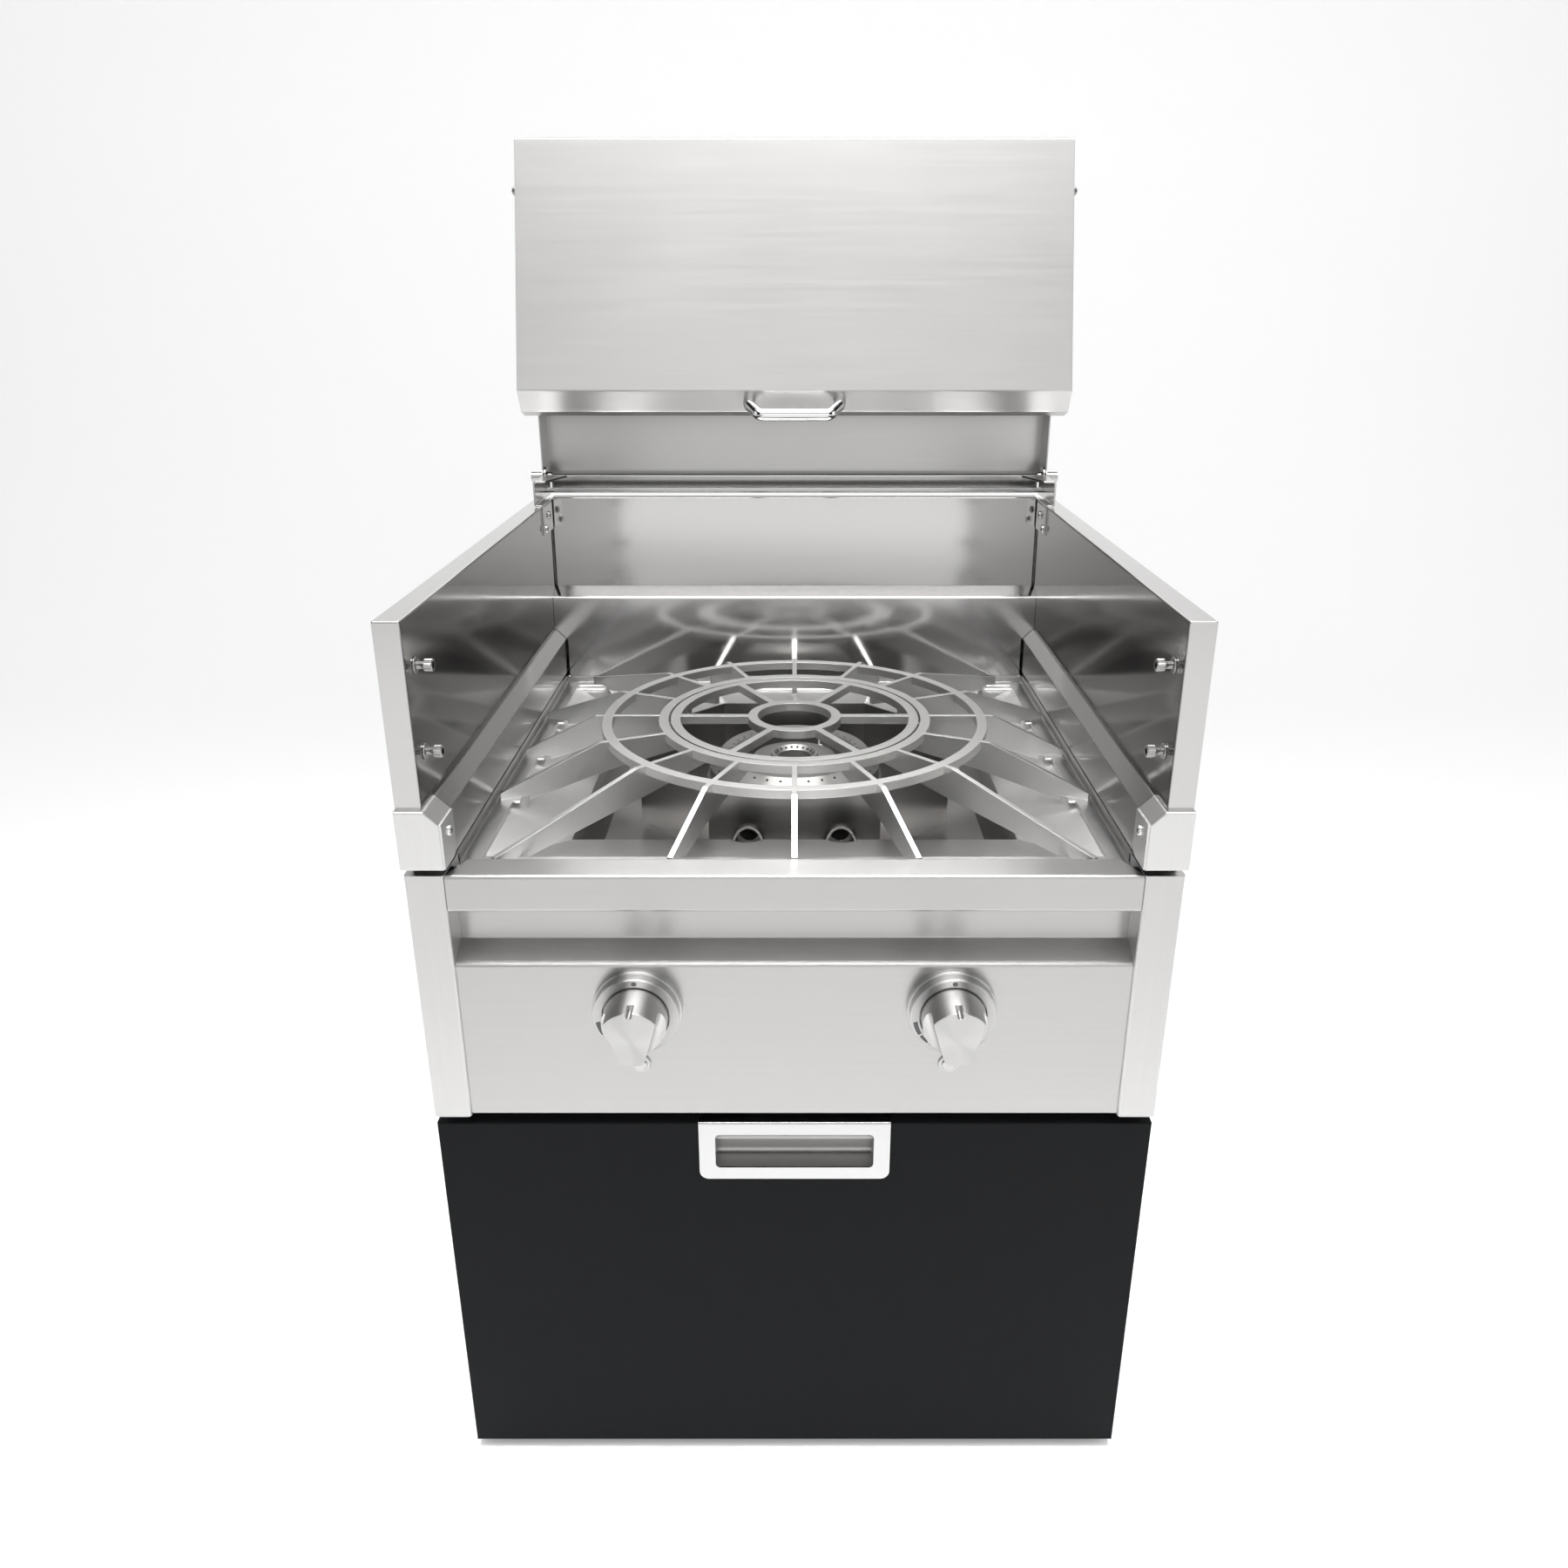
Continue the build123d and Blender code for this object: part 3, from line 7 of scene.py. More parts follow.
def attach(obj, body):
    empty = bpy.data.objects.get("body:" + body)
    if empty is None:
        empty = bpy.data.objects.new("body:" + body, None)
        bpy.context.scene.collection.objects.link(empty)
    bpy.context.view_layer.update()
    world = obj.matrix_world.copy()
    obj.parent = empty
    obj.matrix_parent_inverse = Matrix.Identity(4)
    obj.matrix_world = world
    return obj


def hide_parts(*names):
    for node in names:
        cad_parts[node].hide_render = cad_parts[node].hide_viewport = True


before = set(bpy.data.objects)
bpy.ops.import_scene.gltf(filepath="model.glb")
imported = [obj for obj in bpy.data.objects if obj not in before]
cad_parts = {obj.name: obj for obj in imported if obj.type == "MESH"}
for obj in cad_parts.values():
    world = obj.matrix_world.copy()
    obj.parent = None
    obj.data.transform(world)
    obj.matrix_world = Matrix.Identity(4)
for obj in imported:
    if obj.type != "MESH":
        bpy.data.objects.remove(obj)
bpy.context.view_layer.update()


# The photographer's room: a pale floor that curves up into a backdrop, one roll of matt white paper.
# Large soft boxes stand round it, and the room's own even light reaches only the matt surfaces.
# The camera stands in front, a little above the lid's handle, and looks down at the burner.
scene = bpy.context.scene
scene.view_settings.view_transform = "Standard"
scene.view_settings.look = "None"

paper_front, paper_half_width = -16.0, 14.0
paper_run, paper_rise, paper_curve = 19.5, 6.0, 1.6
room = bmesh.new()
paper_end = room.edges.new([room.verts.new((side * paper_half_width, paper_front, 0.0)) for side in (-1, 1)])
for step in ((0.0, paper_run, 0.0), (0.0, 0.0, paper_rise)):
    grown = bmesh.ops.extrude_edge_only(room, edges=[paper_end])["geom"]
    bmesh.ops.translate(room, verts=[v for v in grown if isinstance(v, bmesh.types.BMVert)], vec=step)
    paper_end = [e for e in grown if isinstance(e, bmesh.types.BMEdge)][0]
fold = [e for e in room.edges if len(e.link_faces) == 2]
bmesh.ops.bevel(room, geom=fold, offset=paper_curve, affect="EDGES", segments=12, profile=0.5, material=-1)
room_mesh = bpy.data.meshes.new("studio_floor")
room.to_mesh(room_mesh)
room.free()
room_mesh.shade_smooth()
studio_floor = bpy.data.objects.new("studio_floor", room_mesh)
scene.collection.objects.link(studio_floor)

paper = bpy.data.materials.new("backdrop_paper")
paper.use_nodes = True
paper_shader = paper.node_tree.nodes["Principled BSDF"]
paper_shader.inputs["Base Color"].default_value = (0.93, 0.93, 0.93, 1.0)
paper_shader.inputs["Roughness"].default_value = 0.9
paper_shader.inputs["Specular IOR Level"].default_value = 0.1
paper_shader.inputs["Emission Color"].default_value = (1.0, 1.0, 1.0, 1.0)
paper_shader.inputs["Emission Strength"].default_value = 0.02
room_mesh.materials.append(paper)

world = bpy.data.worlds.new("room_light")
scene.world = world
world.use_nodes = True
room_light = world.node_tree.nodes["Background"]
room_light.inputs["Color"].default_value = (1.0, 1.0, 1.0, 1.0)
room_light.inputs["Strength"].default_value = 0.72
world.cycles_visibility.glossy = False

for name, place, aim, wide, tall, power, spread in (
    ("softbox_front", (0.0, -3.4, 2.3), (0.0, 0.0, 0.8), 4.4, 1.8, 32.0, 180),
    ("softbox_top", (0.0, -0.7, 3.4), (0.0, -0.3, 0.0), 3.6, 3.0, 41.0, 180),
    ("softbox_over", (0.0, -0.15, 2.3), (0.0, 0.0, 0.6), 2.0, 0.8, 10.5, 60),
    ("softbox_left", (-3.2, -0.8, 1.8), (0.0, 0.0, 0.7), 1.6, 2.4, 12.0, 180),
    ("softbox_right", (3.2, -0.8, 1.8), (0.0, 0.0, 0.7), 1.6, 2.4, 18.0, 180),
    ("softbox_far", (1.7, -5.8, 0.95), (0.0, 0.0, 0.8), 7.0, 2.0, 38.0, 180),
):
    lamp = bpy.data.lights.new(name, "AREA")
    lamp.shape = "RECTANGLE"
    lamp.size = wide
    lamp.size_y = tall
    lamp.energy = power
    lamp.spread = radians(spread)
    stand = bpy.data.objects.new(name, lamp)
    stand.location = place
    stand.rotation_euler = (Vector(aim) - Vector(place)).to_track_quat("-Z", "Y").to_euler()
    scene.collection.objects.link(stand)

camera_height, camera_distance, look_down = 1.035, 1.0985, 19.95
camera = bpy.data.cameras.new("camera")
camera.sensor_width = 36.0
camera.lens = 26.5
camera.shift_x = -0.0067
camera.shift_y = -0.0383
tripod = bpy.data.objects.new("camera", camera)
tripod.location = (0.0, -camera_distance, camera_height)
tripod.rotation_euler = (radians(90 - look_down), 0.0, 0.0)
scene.collection.objects.link(tripod)
scene.camera = tripod


# Base cabinet and drawer front: folded steel sheet, powder coated satin black inside and out.
# The coat has a fine orange-peel skin and is a little smoother where it gets wiped.
DARKER, LIGHTER = 0.93, 1.07


def noise_of(material, vector, scale, detail):
    """A noise pattern over a vector output."""
    noise = material.node_tree.nodes.new("ShaderNodeTexNoise")
    noise.inputs["Scale"].default_value = scale
    noise.inputs["Detail"].default_value = detail
    material.node_tree.links.new(vector, noise.inputs["Vector"])
    return noise


def ranged(material, value, start, end, low=0.0, high=1.0):
    """Spread a value between start and end over low to high."""
    spread_out = material.node_tree.nodes.new("ShaderNodeMapRange")
    spread_out.inputs["From Min"].default_value = start
    spread_out.inputs["From Max"].default_value = end
    spread_out.inputs["To Min"].default_value = low
    spread_out.inputs["To Max"].default_value = high
    material.node_tree.links.new(value, spread_out.inputs["Value"])
    return spread_out.outputs["Result"]


def tone_between(material, share, first, second):
    """Mix two tones, each a colour or another node's output, by a share from 0 to 1."""
    mix = material.node_tree.nodes.new("ShaderNodeMix")
    mix.data_type = "RGBA"
    material.node_tree.links.new(share, mix.inputs["Factor"])
    for socket, tone in (("A", first), ("B", second)):
        if isinstance(tone, tuple):
            mix.inputs[socket].default_value = (*tone, 1.0)
        else:
            material.node_tree.links.new(tone, mix.inputs[socket])
    return mix.outputs["Result"]


def mottled(material, share, colour):
    """A colour that goes a little darker and lighter with a pattern."""
    dark = tuple(c * DARKER for c in colour)
    light = tuple(min(1.0, c * LIGHTER) for c in colour)
    return tone_between(material, share, dark, light)


def powder_coat(name, colour, roughness, peel, gloss=0.05):
    coat = bpy.data.materials.new(name)
    coat.use_nodes = True
    nodes, links = coat.node_tree.nodes, coat.node_tree.links
    shader = nodes["Principled BSDF"]
    shader.inputs["Specular IOR Level"].default_value = gloss
    where = nodes.new("ShaderNodeTexCoord").outputs["Object"]
    skin = noise_of(coat, where, scale=900.0, detail=3.0)
    bump = nodes.new("ShaderNodeBump")
    bump.inputs["Strength"].default_value = peel
    bump.inputs["Distance"].default_value = 0.0002
    links.new(skin.outputs["Fac"], bump.inputs["Height"])
    links.new(bump.outputs["Normal"], shader.inputs["Normal"])
    wiped = noise_of(coat, where, scale=5.0, detail=4.0).outputs["Fac"]
    links.new(ranged(coat, wiped, 0.3, 0.7, roughness - 0.04, roughness + 0.05), shader.inputs["Roughness"])
    links.new(mottled(coat, wiped, colour), shader.inputs["Base Color"])
    return coat


def finish_node(material, *names):
    for name in names:
        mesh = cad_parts[name].data
        mesh.materials.clear()
        mesh.materials.append(material)


black_coat = powder_coat("black_powder_coat", (0.0095, 0.0100, 0.0108), 0.50, 0.12)
finish_node(black_coat, "cabinet_side_left", "cabinet_side_right", "cabinet_back", "cabinet_floor", "drawer_front")


# Stainless panels of the burner unit: sheet with long fine brush lines along its bends.
# The posts are brushed upwards, the panel and rails across, the unit's sides front to back.
LINE_SHARE, CLOUD_SHARE = 0.7, 0.3


def reckoned(material, operation, value, *numbers):
    """A sum on another node's value."""
    step = material.node_tree.nodes.new("ShaderNodeMath")
    step.operation = operation
    material.node_tree.links.new(value, step.inputs[0])
    for socket, number in zip(step.inputs[1:], numbers):
        socket.default_value = number
    return step


def smear_along(material, grain, turned, smear):
    """Stretch the gloss across the brush lines, which run straight or round the knobs' axis."""
    nodes, links = material.node_tree.nodes, material.node_tree.links
    shader = nodes["Principled BSDF"]
    shader.inputs["Anisotropic"].default_value = smear
    shader.inputs["Anisotropic Rotation"].default_value = 0.25
    brush = nodes.new("ShaderNodeTangent" if turned else "ShaderNodeCombineXYZ")
    if turned:
        brush.direction_type = "RADIAL"
        brush.axis = "Y"
    else:
        # A little off the axis, so that no face stands square to it.
        for i in range(3):
            brush.inputs[i].default_value = 1.0 if grain[i] == min(grain) else 0.01 * (i + 1)
    links.new(brush.outputs[0], shader.inputs["Tangent"])


def brushed_sheet(name, colour, roughness, grain, depth, smear=0.0, turned=False, bend=0.0):
    """Brushed steel. The grain is how fast its lines change along X, Y and Z, and bend rounds the edges' shine."""
    steel = bpy.data.materials.new(name)
    steel.use_nodes = True
    nodes, links = steel.node_tree.nodes, steel.node_tree.links
    shader = nodes["Principled BSDF"]
    shader.inputs["Metallic"].default_value = 1.0
    if smear:
        smear_along(steel, grain, turned, smear)
    where = nodes.new("ShaderNodeTexCoord").outputs["Object"]
    stretch = nodes.new("ShaderNodeMapping")
    stretch.inputs["Scale"].default_value = grain
    links.new(where, stretch.inputs["Vector"])
    lines = noise_of(steel, stretch.outputs["Vector"], scale=1.0, detail=4.0)
    lines.inputs["Roughness"].default_value = 0.8
    clouds = noise_of(steel, where, scale=4.0, detail=3.0)
    soft = reckoned(steel, "MULTIPLY", clouds.outputs["Fac"], CLOUD_SHARE)
    both = reckoned(steel, "MULTIPLY_ADD", lines.outputs["Fac"], LINE_SHARE)
    links.new(soft.outputs["Value"], both.inputs[2])
    worn = both.outputs["Value"]
    links.new(ranged(steel, worn, 0.3, 0.7, roughness * 0.93, roughness * 1.08), shader.inputs["Roughness"])
    links.new(mottled(steel, worn, colour), shader.inputs["Base Color"])
    bump = nodes.new("ShaderNodeBump")
    bump.inputs["Strength"].default_value = depth
    bump.inputs["Distance"].default_value = 0.00008
    links.new(lines.outputs["Fac"], bump.inputs["Height"])
    if bend:
        edge = nodes.new("ShaderNodeBevel")
        edge.samples = 4
        edge.inputs["Radius"].default_value = bend
        links.new(edge.outputs["Normal"], bump.inputs["Normal"])
    links.new(bump.outputs["Normal"], shader.inputs["Normal"])
    return steel


STAINLESS = (0.49, 0.485, 0.48)
across = (6.0, 260.0, 260.0)
upward = (260.0, 260.0, 6.0)
inward = (260.0, 6.0, 260.0)
steel_across = brushed_sheet("stainless_brushed_across", STAINLESS, 0.30, across, 0.03, 0.6, bend=0.0006)
steel_upward = brushed_sheet("stainless_brushed_upward", (0.58, 0.575, 0.57), 0.36, upward, 0.03, 0.8, bend=0.0008)
steel_inward = brushed_sheet("stainless_brushed_inward", STAINLESS, 0.36, inward, 0.03, 0.8, bend=0.0008)
finish_node(steel_upward, "post_left", "post_right")
finish_node(steel_across, "control_panel", "front_rail", "unit_back")
finish_node(steel_inward, "unit_side_left", "unit_side_right")


# Cabinet side screws: small black pan heads in a row down each rear edge.
# They go through the cabinet's sides into the flanges of its back.
def add_piece(name, shape, material, body):
    bmesh.ops.remove_doubles(shape, verts=shape.verts, dist=0.000002)
    bmesh.ops.recalc_face_normals(shape, faces=shape.faces)
    mesh = bpy.data.meshes.new(name)
    shape.to_mesh(mesh)
    shape.free()
    mesh.shade_smooth()
    mesh.set_sharp_from_angle(angle=radians(32))
    mesh.materials.append(material)
    piece = bpy.data.objects.new(name, mesh)
    scene.collection.objects.link(piece)
    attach(piece, body)
    return piece


def looking(point, direction):
    """A place whose own Z points along a direction."""
    turn = Vector(direction).to_track_quat("Z", "Y" if abs(direction[1]) < 0.5 else "X")
    return Matrix.Translation(point) @ turn.to_matrix().to_4x4()


def spun(shape, profile, place, steps=24):
    """Turn a (radius, height) line in millimetres about a place's own Z."""
    line = [shape.verts.new((r / 1000, 0.0, h / 1000)) for r, h in profile]
    edges = [shape.edges.new(ends) for ends in zip(line, line[1:])]
    old = set(shape.verts) - set(line)
    bmesh.ops.spin(shape, geom=line + edges, cent=(0, 0, 0), axis=(0, 0, 1),
                   angle=2 * pi, steps=steps, use_merge=True)
    bmesh.ops.transform(shape, verts=[v for v in shape.verts if v not in old], matrix=place)


def ring_line(shape, points, height, place):
    """A closed line of edges through (x, y) points in millimetres at one height."""
    verts = [shape.verts.new(place @ Vector((x / 1000, y / 1000, height / 1000))) for x, y in points]
    return [shape.edges.new(ends) for ends in zip(verts, verts[1:] + verts[:1])]


def around(radius, count):
    """Points evenly round a circle, in millimetres."""
    return [(radius * cos(2 * pi * i / count), radius * sin(2 * pi * i / count)) for i in range(count)]


def bridged(shape, loops):
    """Join each closed line of edges to the next."""
    for first, second in zip(loops, loops[1:]):
        bmesh.ops.bridge_loops(shape, edges=first + second)


def sunk(shape, rim, points, height, deep, place):
    """Close a round top with a recess of a given outline."""
    mouth = ring_line(shape, points, height, place)
    bridged(shape, [rim, mouth])
    grown = bmesh.ops.extrude_edge_only(shape, edges=mouth)["geom"]
    low = [v for v in grown if isinstance(v, bmesh.types.BMVert)]
    bmesh.ops.translate(shape, verts=low, vec=place.to_3x3() @ Vector((0, 0, -deep / 1000)))
    bmesh.ops.contextual_create(shape, geom=[e for e in grown if isinstance(e, bmesh.types.BMEdge)])


def pan_screw(shape, place, radius, height):
    """A pan head with a cross recess, its sizes in millimetres."""
    flat = radius * 0.72
    shoulder = (radius * 0.93, height * 0.72)
    spun(shape, [(radius, -0.2), (radius, height * 0.35), shoulder, (flat, height)], place)
    arm, half = radius * 0.52, radius * 0.13
    cross = [(arm, -half), (arm, half), (half, half), (half, arm), (-half, arm), (-half, half), (-arm, half),
             (-arm, -half), (-half, -half), (-half, -arm), (half, -arm), (half, -half)]
    sunk(shape, ring_line(shape, around(flat, 24), height, place), cross, height, height * 0.6, place)


cabinet_side, cabinet_rear_row = 0.305, 0.3035
screws = bmesh.new()
for side in (-1, 1):
    for z in (0.075, 0.200, 0.325):
        place = looking((side * cabinet_side, cabinet_rear_row, z), (side, 0, 0))
        pan_screw(screws, place, radius=4.0, height=2.2)
add_piece("cabinet_screws", screws, black_coat, "base")


# Levelling feet: ribbed rubber pads moulded on zinc-plated studs, each locked by a hexagon nut.
# The studs go up through the cabinet floor and can be turned to level the cabinet.
rubber = powder_coat("foot_rubber", (0.018, 0.018, 0.018), 0.7, 0.4)
zinc_plate = brushed_sheet("zinc_plate", (0.50, 0.51, 0.52), 0.38, inward, 0.04)
foot_places = [(x, y) for x in (-0.265, 0.265) for y in (-0.1935, 0.2455)]
pad_line = [(0, 0), (17, 0), (18, 1), (18, 2), (17.3, 2.4), (18, 2.8), (18, 3.6), (13, 6.6), (11, 7), (0, 7)]
stud_thread = [point for i in range(7) for point in ((5.0, 11.4 + 2 * i), (4.5, 12.4 + 2 * i))]
stud_line = [(4.6, 6.9), (4.6, 11.4), *stud_thread, (4.6, 26.4), (3.8, 27), (0, 27)]
nut_line = ((8.4, 7.0), (9.8, 7.8), (9.8, 10.9))
pads, studs = bmesh.new(), bmesh.new()
for x, y in foot_places:
    place = Matrix.Translation((x, y, 0))
    spun(pads, pad_line, place, 32)
    spun(studs, stud_line, place, 20)
    nut = [ring_line(studs, around(radius, 6), height, place) for radius, height in nut_line]
    bridged(studs, nut)
    bmesh.ops.contextual_create(studs, geom=nut[-1])
    bmesh.ops.contextual_create(studs, geom=nut[0])
foot_pads = add_piece("foot_pads", pads, rubber, "base")
foot_studs = add_piece("foot_studs", studs, zinc_plate, "base")
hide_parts("levelling_feet")
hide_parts("levelling_feet")


# Drawer pull: a polished plate folded over the drawer's top edge, with a pressed cup behind it.
# The cup is left brushed inside, and its upper half rolls inwards as a lip for the fingers.
pull_steel = brushed_sheet("pull_plate_steel", (0.59, 0.59, 0.59), 0.14, across, 0.02)
cup_steel = brushed_sheet("pull_cup_steel", (0.46, 0.455, 0.45), 0.30, across, 0.06, 0.6)
finish_node(pull_steel, "drawer_pull")
finish_node(cup_steel, "pull_cup")


# Drawer tray and runners: a folded tray of zinc-plated sheet, fixed to the back of the drawer front.
# It slides on a pair of three-part ball runners of the same plated steel, fixed to the cabinet's sides.
finish_node(zinc_plate, "drawer_tray", "runners_cabinet", "runners_middle", "runners_drawer")


# Side beams: chamfered stainless channels along both sides, on dark strips of rubber.
# Their front ends are closed by caps whose tabs are held by one bright screw each.
beam_sheet = brushed_sheet("beam_sheet", (0.36, 0.355, 0.35), 0.16, inward, 0.04, bend=0.0018)
cap_steel = brushed_sheet("cap_sheet", (0.68, 0.675, 0.67), 0.34, upward, 0.08, 0.6, bend=0.0012)
bright_steel = brushed_sheet("polished_steel", (0.78, 0.78, 0.78), 0.12, across, 0.02)
finish_node(beam_sheet, "side_beam_left", "side_beam_right")
finish_node(cap_steel, "beam_cap_left", "beam_cap_right")
finish_node(rubber, "beam_strips")
tab_screws = bmesh.new()
for side in (-1, 1):
    place = looking((side * 0.2695, -0.2812, 0.6503), (-side, 0, 0))
    pan_screw(tab_screws, place, radius=4.2, height=2.4)
add_piece("beam_cap_screws", tab_screws, bright_steel, "base")


# Wind guards: hollow panels of smooth mill-finish sheet, so they mirror the grate and each other.
# The side guards' inner skins are painted a darker tone than their edges, as painted shade for the dark inside of
# the unit.
def along(material, axis):
    """Where a point of the surface is along X, Y or Z."""
    parted = material.node_tree.nodes.new("ShaderNodeSeparateXYZ")
    where = material.node_tree.nodes["Texture Coordinate"].outputs["Object"]
    material.node_tree.links.new(where, parted.inputs["Vector"])
    return parted.outputs[axis]


def retoned(material, share, tone):
    """Give a sheet another tone where the share is 1."""
    base_colour = material.node_tree.nodes["Principled BSDF"].inputs["Base Color"]
    brushed = base_colour.links[0].from_socket
    material.node_tree.links.new(tone_between(material, share, brushed, tone), base_colour)


guard_skin, skin_play = 0.2840, 0.0008
guard_across = brushed_sheet("guard_sheet_across", (0.46, 0.455, 0.45), 0.11, across, 0.03)
rail_across = brushed_sheet("back_rail_sheet", (0.58, 0.575, 0.57), 0.13, across, 0.03)
guard_inward = brushed_sheet("guard_sheet_inward", (0.58, 0.57, 0.565), 0.11, inward, 0.03)
# Painted shade: the faces at the inner skin's distance from the middle get a darker tone than the guards' edges.
off_middle = reckoned(guard_inward, "ABSOLUTE", along(guard_inward, "X"))
painted_shade_on_skin = reckoned(guard_inward, "COMPARE", off_middle.outputs["Value"], guard_skin, skin_play)
retoned(guard_inward, painted_shade_on_skin.outputs["Value"], (0.28, 0.273, 0.270))
finish_node(guard_inward, "side_guard_left", "side_guard_right")
finish_node(guard_across, "rear_guard")
finish_node(rail_across, "back_rail")


# Guard bolts: two socket-head screws with washers inside each side guard, near its front edge.
# They stand off the guard, so that an accessory can be hung on them.
bolt_steel = brushed_sheet("bolt_steel", (0.42, 0.415, 0.41), 0.22, (700.0, 700.0, 700.0), 0.03)
washer_line = [(3.2, 0.0), (6.0, 0.0), (6.5, 0.4), (6.5, 1.2), (6.1, 1.6), (3.0, 1.6)]
bolt_thread = [point for i in range(6) for point in ((2.6, 2.0 + i), (3.0, 2.5 + i))]
shank_line = [(3.0, -1.6), (3.0, 1.7), *bolt_thread, (2.9, 8.0)]
head_bottom, knurl_end, head_top = 8.0, 13.4, 14.0
knurl_ridge, knurl_groove = around(5.0, 72), around(4.8, 72)
knurl = [knurl_groove[i] if i % 2 else knurl_ridge[i] for i in range(72)]
bolts = bmesh.new()
for side in (-1, 1):
    for z in (0.7130, 0.7820):
        place = looking((side * guard_skin, -0.2725, z), (-side, 0, 0))
        spun(bolts, washer_line, place, 32)
        spun(bolts, shank_line, place, 20)
        neck = ring_line(bolts, around(2.9, 24), head_bottom, place)
        low = ring_line(bolts, knurl, head_bottom, place)
        high = ring_line(bolts, knurl, knurl_end, place)
        top = ring_line(bolts, around(4.4, 36), head_top, place)
        bridged(bolts, [neck, low, high, top])
        sunk(bolts, top, around(2.9, 6), head_top, 3.2, place)
guard_bolts = add_piece("guard_socket_screws", bolts, bolt_steel, "base")
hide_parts("guard_bolts")


# Lid hinge: bent brackets held to the side guards by two screws each, and a folded cross bar.
# The lid's rear half turns on two shouldered pins in the brackets' ears.
hinge_sheet = brushed_sheet("hinge_sheet", (0.46, 0.455, 0.45), 0.18, inward, 0.05, bend=0.001)
finish_node(hinge_sheet, "hinge_bracket_left", "hinge_bracket_right", "hinge_bar")
finish_node(bolt_steel, "hinge_pins", "fold_pins")
bracket_face = 0.282
bracket_screws = bmesh.new()
for side in (-1, 1):
    for y, z in ((0.2285, 0.8085), (0.2095, 0.7960)):
        place = looking((side * bracket_face, y, z), (-side, 0, 0))
        pan_screw(bracket_screws, place, radius=4.2, height=2.4)
add_piece("bracket_screws", bracket_screws, bolt_steel, "base")


# Folding lid: two bent stainless sheets with closed side flanges, brushed across.
# The halves turn on the fold pins, and the front half's bevelled edge carries a bow handle of polished wire.
lid_steel = brushed_sheet("lid_sheet", STAINLESS, 0.30, across, 0.03, 0.6, bend=0.0010)
finish_node(lid_steel, "lid_rear", "lid_front")
finish_node(bright_steel, "lid_handle")


# Burner pan and shield: a deep folded tray on the unit's ledges, with an eight-sided shield on its floor.
# The tray's shelf stays bright, and its deep part round the burner is painted darker, as painted shade in the
# recess.
shelf_height, deep_height = 0.605, 0.585
pan_steel = brushed_sheet("pan_sheet", (0.84, 0.835, 0.83), 0.30, across, 0.05, bend=0.0015)
# Painted shade: the tray's tone goes darker from the shelf's height down to the deep part.
painted_shade_in_the_deep = ranged(pan_steel, along(pan_steel, "Z"), shelf_height, deep_height)
retoned(pan_steel, painted_shade_in_the_deep, (0.36, 0.352, 0.345))
shield_steel = brushed_sheet("shield_sheet", (0.36, 0.355, 0.35), 0.30, across, 0.05)
finish_node(pan_steel, "burner_pan")
finish_node(shield_steel, "burner_shield")


# Burner: an iron casting that carries a drilled outer ring and a turned inner head.
# The ring and the head are machined; the two air horns are darker at their front ends, and their bores are painted
# bright as a painted highlight for light falling into them.
# The spark electrode beside the ring has a glazed ceramic body.
horn_start, bore_start, mouth_end = -0.100, -0.142, -0.146
cast_metal = brushed_sheet("burner_casting", (0.24, 0.235, 0.23), 0.48, (500.0, 500.0, 500.0), 0.5)
turned_metal = brushed_sheet("burner_turned", (0.35, 0.345, 0.335), 0.48, (900.0, 900.0, 900.0), 0.06)
ceramic = powder_coat("electrode_ceramic", (0.80, 0.80, 0.77), 0.25, 0.05, 0.5)
to_the_front = along(cast_metal, "Y")
# The horns go dark at their front ends and are painted bright inside, a painted highlight for light falling into the
# bores.
painted_light_in_the_bore = ranged(cast_metal, to_the_front, mouth_end, bore_start)
horn_dark_end_and_painted_bore_light = tone_between(cast_metal, painted_light_in_the_bore, (0.10, 0.098, 0.096), (0.62, 0.61, 0.60))
on_the_horns = reckoned(cast_metal, "LESS_THAN", to_the_front, horn_start)
retoned(cast_metal, on_the_horns.outputs["Value"], horn_dark_end_and_painted_bore_light)
finish_node(cast_metal, "burner_body")
finish_node(turned_metal, "outer_burner_ring", "inner_burner_head")
finish_node(ceramic, "spark_electrode")


# Gas train: brass valves on a zinc-plated manifold pipe that runs back to the inlet.
# The inlet has a turned thread and a flared nose for the hose's nut.
brass = brushed_sheet("gas_brass", (0.68, 0.50, 0.24), 0.30, (600.0, 600.0, 600.0), 0.05)
finish_node(brass, "valve_left", "valve_right", "valve_stem_left", "valve_stem_right")
finish_node(zinc_plate, "gas_manifold", "feed_pipes")
hexagon_line = ((11.6, 0.0), (12.7, 1.2), (12.7, 14.8), (11.6, 16.0))
inlet_thread = [point for i in range(8) for point in ((7.94, 18.2 + 1.4 * i), (7.1, 18.9 + 1.4 * i))]
nose_line = [(7.2, 29.6), (5.2, 34.0), (4.2, 34.0), (4.2, 22.0), (0, 22.0)]
inlet = bmesh.new()
place = looking((0.235, 0.3055, 0.456), (0, 1, 0))
hexagons = [ring_line(inlet, around(radius, 6), height, place) for radius, height in hexagon_line]
bridged(inlet, hexagons)
bmesh.ops.contextual_create(inlet, geom=hexagons[0])
collar = ring_line(inlet, around(7.2, 24), 16.0, place)
bridged(inlet, [hexagons[-1], collar])
spun(inlet, [(7.2, 16.0), (7.2, 17.6), *inlet_thread, *nose_line], place)
gas_inlet = add_piece("gas_inlet_fitting", inlet, brass, "base")
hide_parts("gas_inlet")


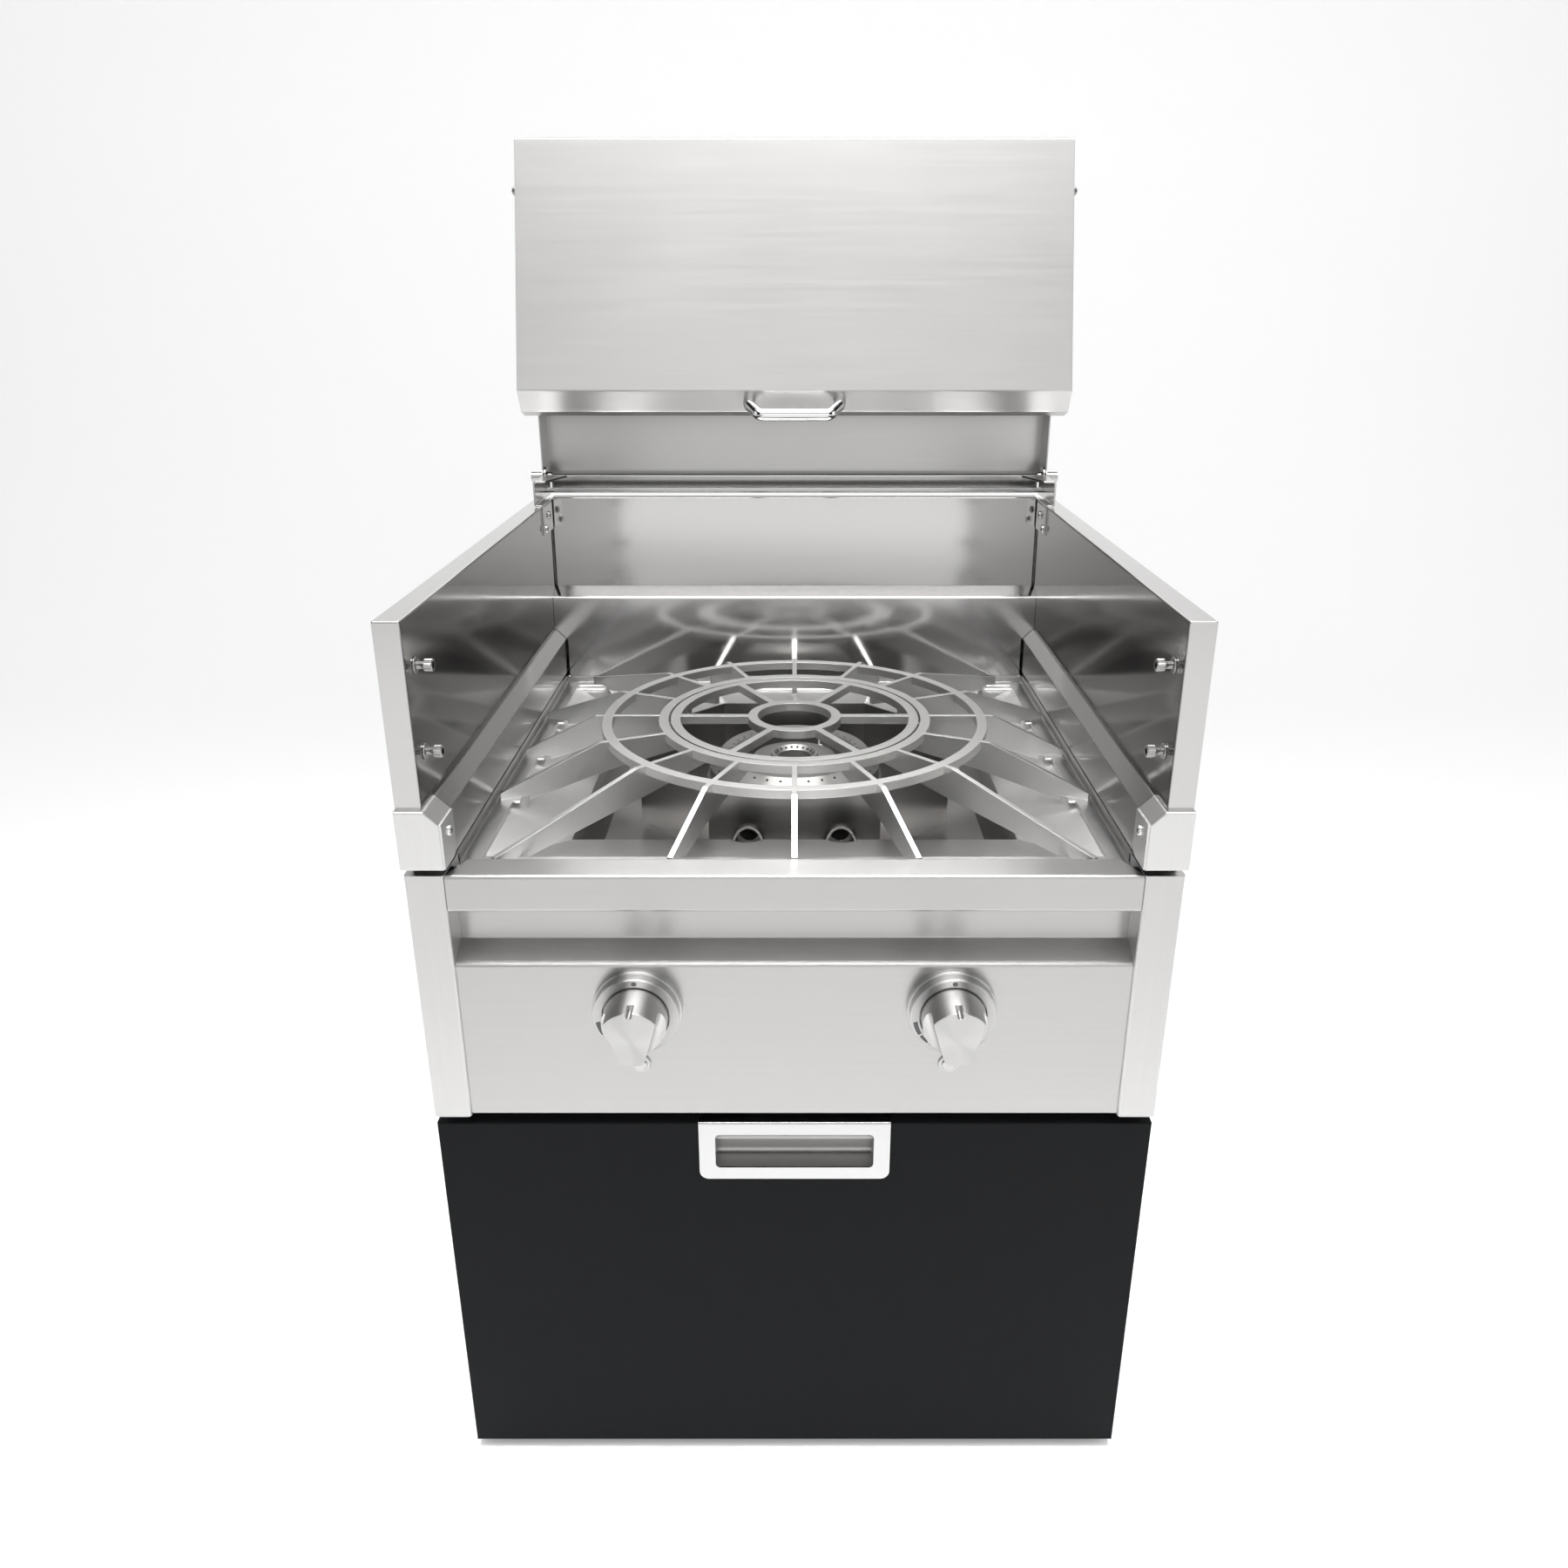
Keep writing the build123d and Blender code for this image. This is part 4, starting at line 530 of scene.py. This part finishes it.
# Knobs and bezels: turned from solid stainless steel and finely brushed round their axis.
# Each knob sits on its valve's stem, in front of a dished bezel, with an igniter button below it.
# The bezel's ring carries a printed dot for off and three blocks that narrow from high to low.
knob_grain = (900.0, 30.0, 900.0)
knob_steel = brushed_sheet("knob_steel", (0.57, 0.565, 0.56), 0.32, knob_grain, 0.03, 0.95, turned=True, bend=0.0008)
button_steel = brushed_sheet("button_steel", (0.56, 0.555, 0.55), 0.24, across, 0.04)
mark_ink = powder_coat("bezel_mark_ink", (0.13, 0.13, 0.132), 0.5, 0.1)
finish_node(knob_steel, "bezel_left", "bezel_right", "knob_left", "knob_right", "button_housings")
finish_node(button_steel, "igniter_button_left", "igniter_button_right")

knob_off_middle, knob_height, panel_face = 0.128, 0.496, -0.2915
dish_inside, dish_width = 27.3, 6.9
dish_front, dish_slope, ink_thickness = 0.0138, 0.0012, 0.00006
mark_circle, dot_radius, dot_points = 30.8, 2.2, 16
block_steps, block_taper = 12, 0.03


def on_bezel(x, angle, radius):
    """A point just in front of the bezel's dished ring, by its clock angle from the top."""
    front = dish_front + (radius - dish_inside) / dish_width * dish_slope + ink_thickness
    return (x + radius / 1000 * sin(angle), panel_face - front, knob_height + radius / 1000 * cos(angle))


marks = bmesh.new()
for x in (-knob_off_middle, knob_off_middle):
    for start, end, wide in ((-98, -121, 1.9), (-124, -140, 1.3), (-143, -152, 0.8)):
        rows = []
        for i in range(block_steps + 1):
            angle = radians(start + (end - start) * i / block_steps)
            rows.append([marks.verts.new(on_bezel(x, angle, mark_circle + offset)) for offset in (-wide, wide)])
            wide -= block_taper
        for first, second in zip(rows, rows[1:]):
            marks.faces.new((first[0], first[1], second[1], second[0]))
    dot = [marks.verts.new(on_bezel(x, sideways / mark_circle, mark_circle + outwards))
           for outwards, sideways in around(dot_radius, dot_points)]
    marks.faces.new(dot)
add_piece("bezel_marks", marks, mark_ink, "base")


# Grate: steel plate spokes welded under two flat rings, with a loose insert in the middle.
# It is bead blasted to a dull satin, and the cut edges of its plates catch the light.
blasted = (300.0, 300.0, 300.0)
grate_steel = brushed_sheet("grate_plate_steel", (0.70, 0.695, 0.685), 0.38, blasted, 0.15, bend=0.0006)
finish_node(grate_steel, "grate", "grate_insert")
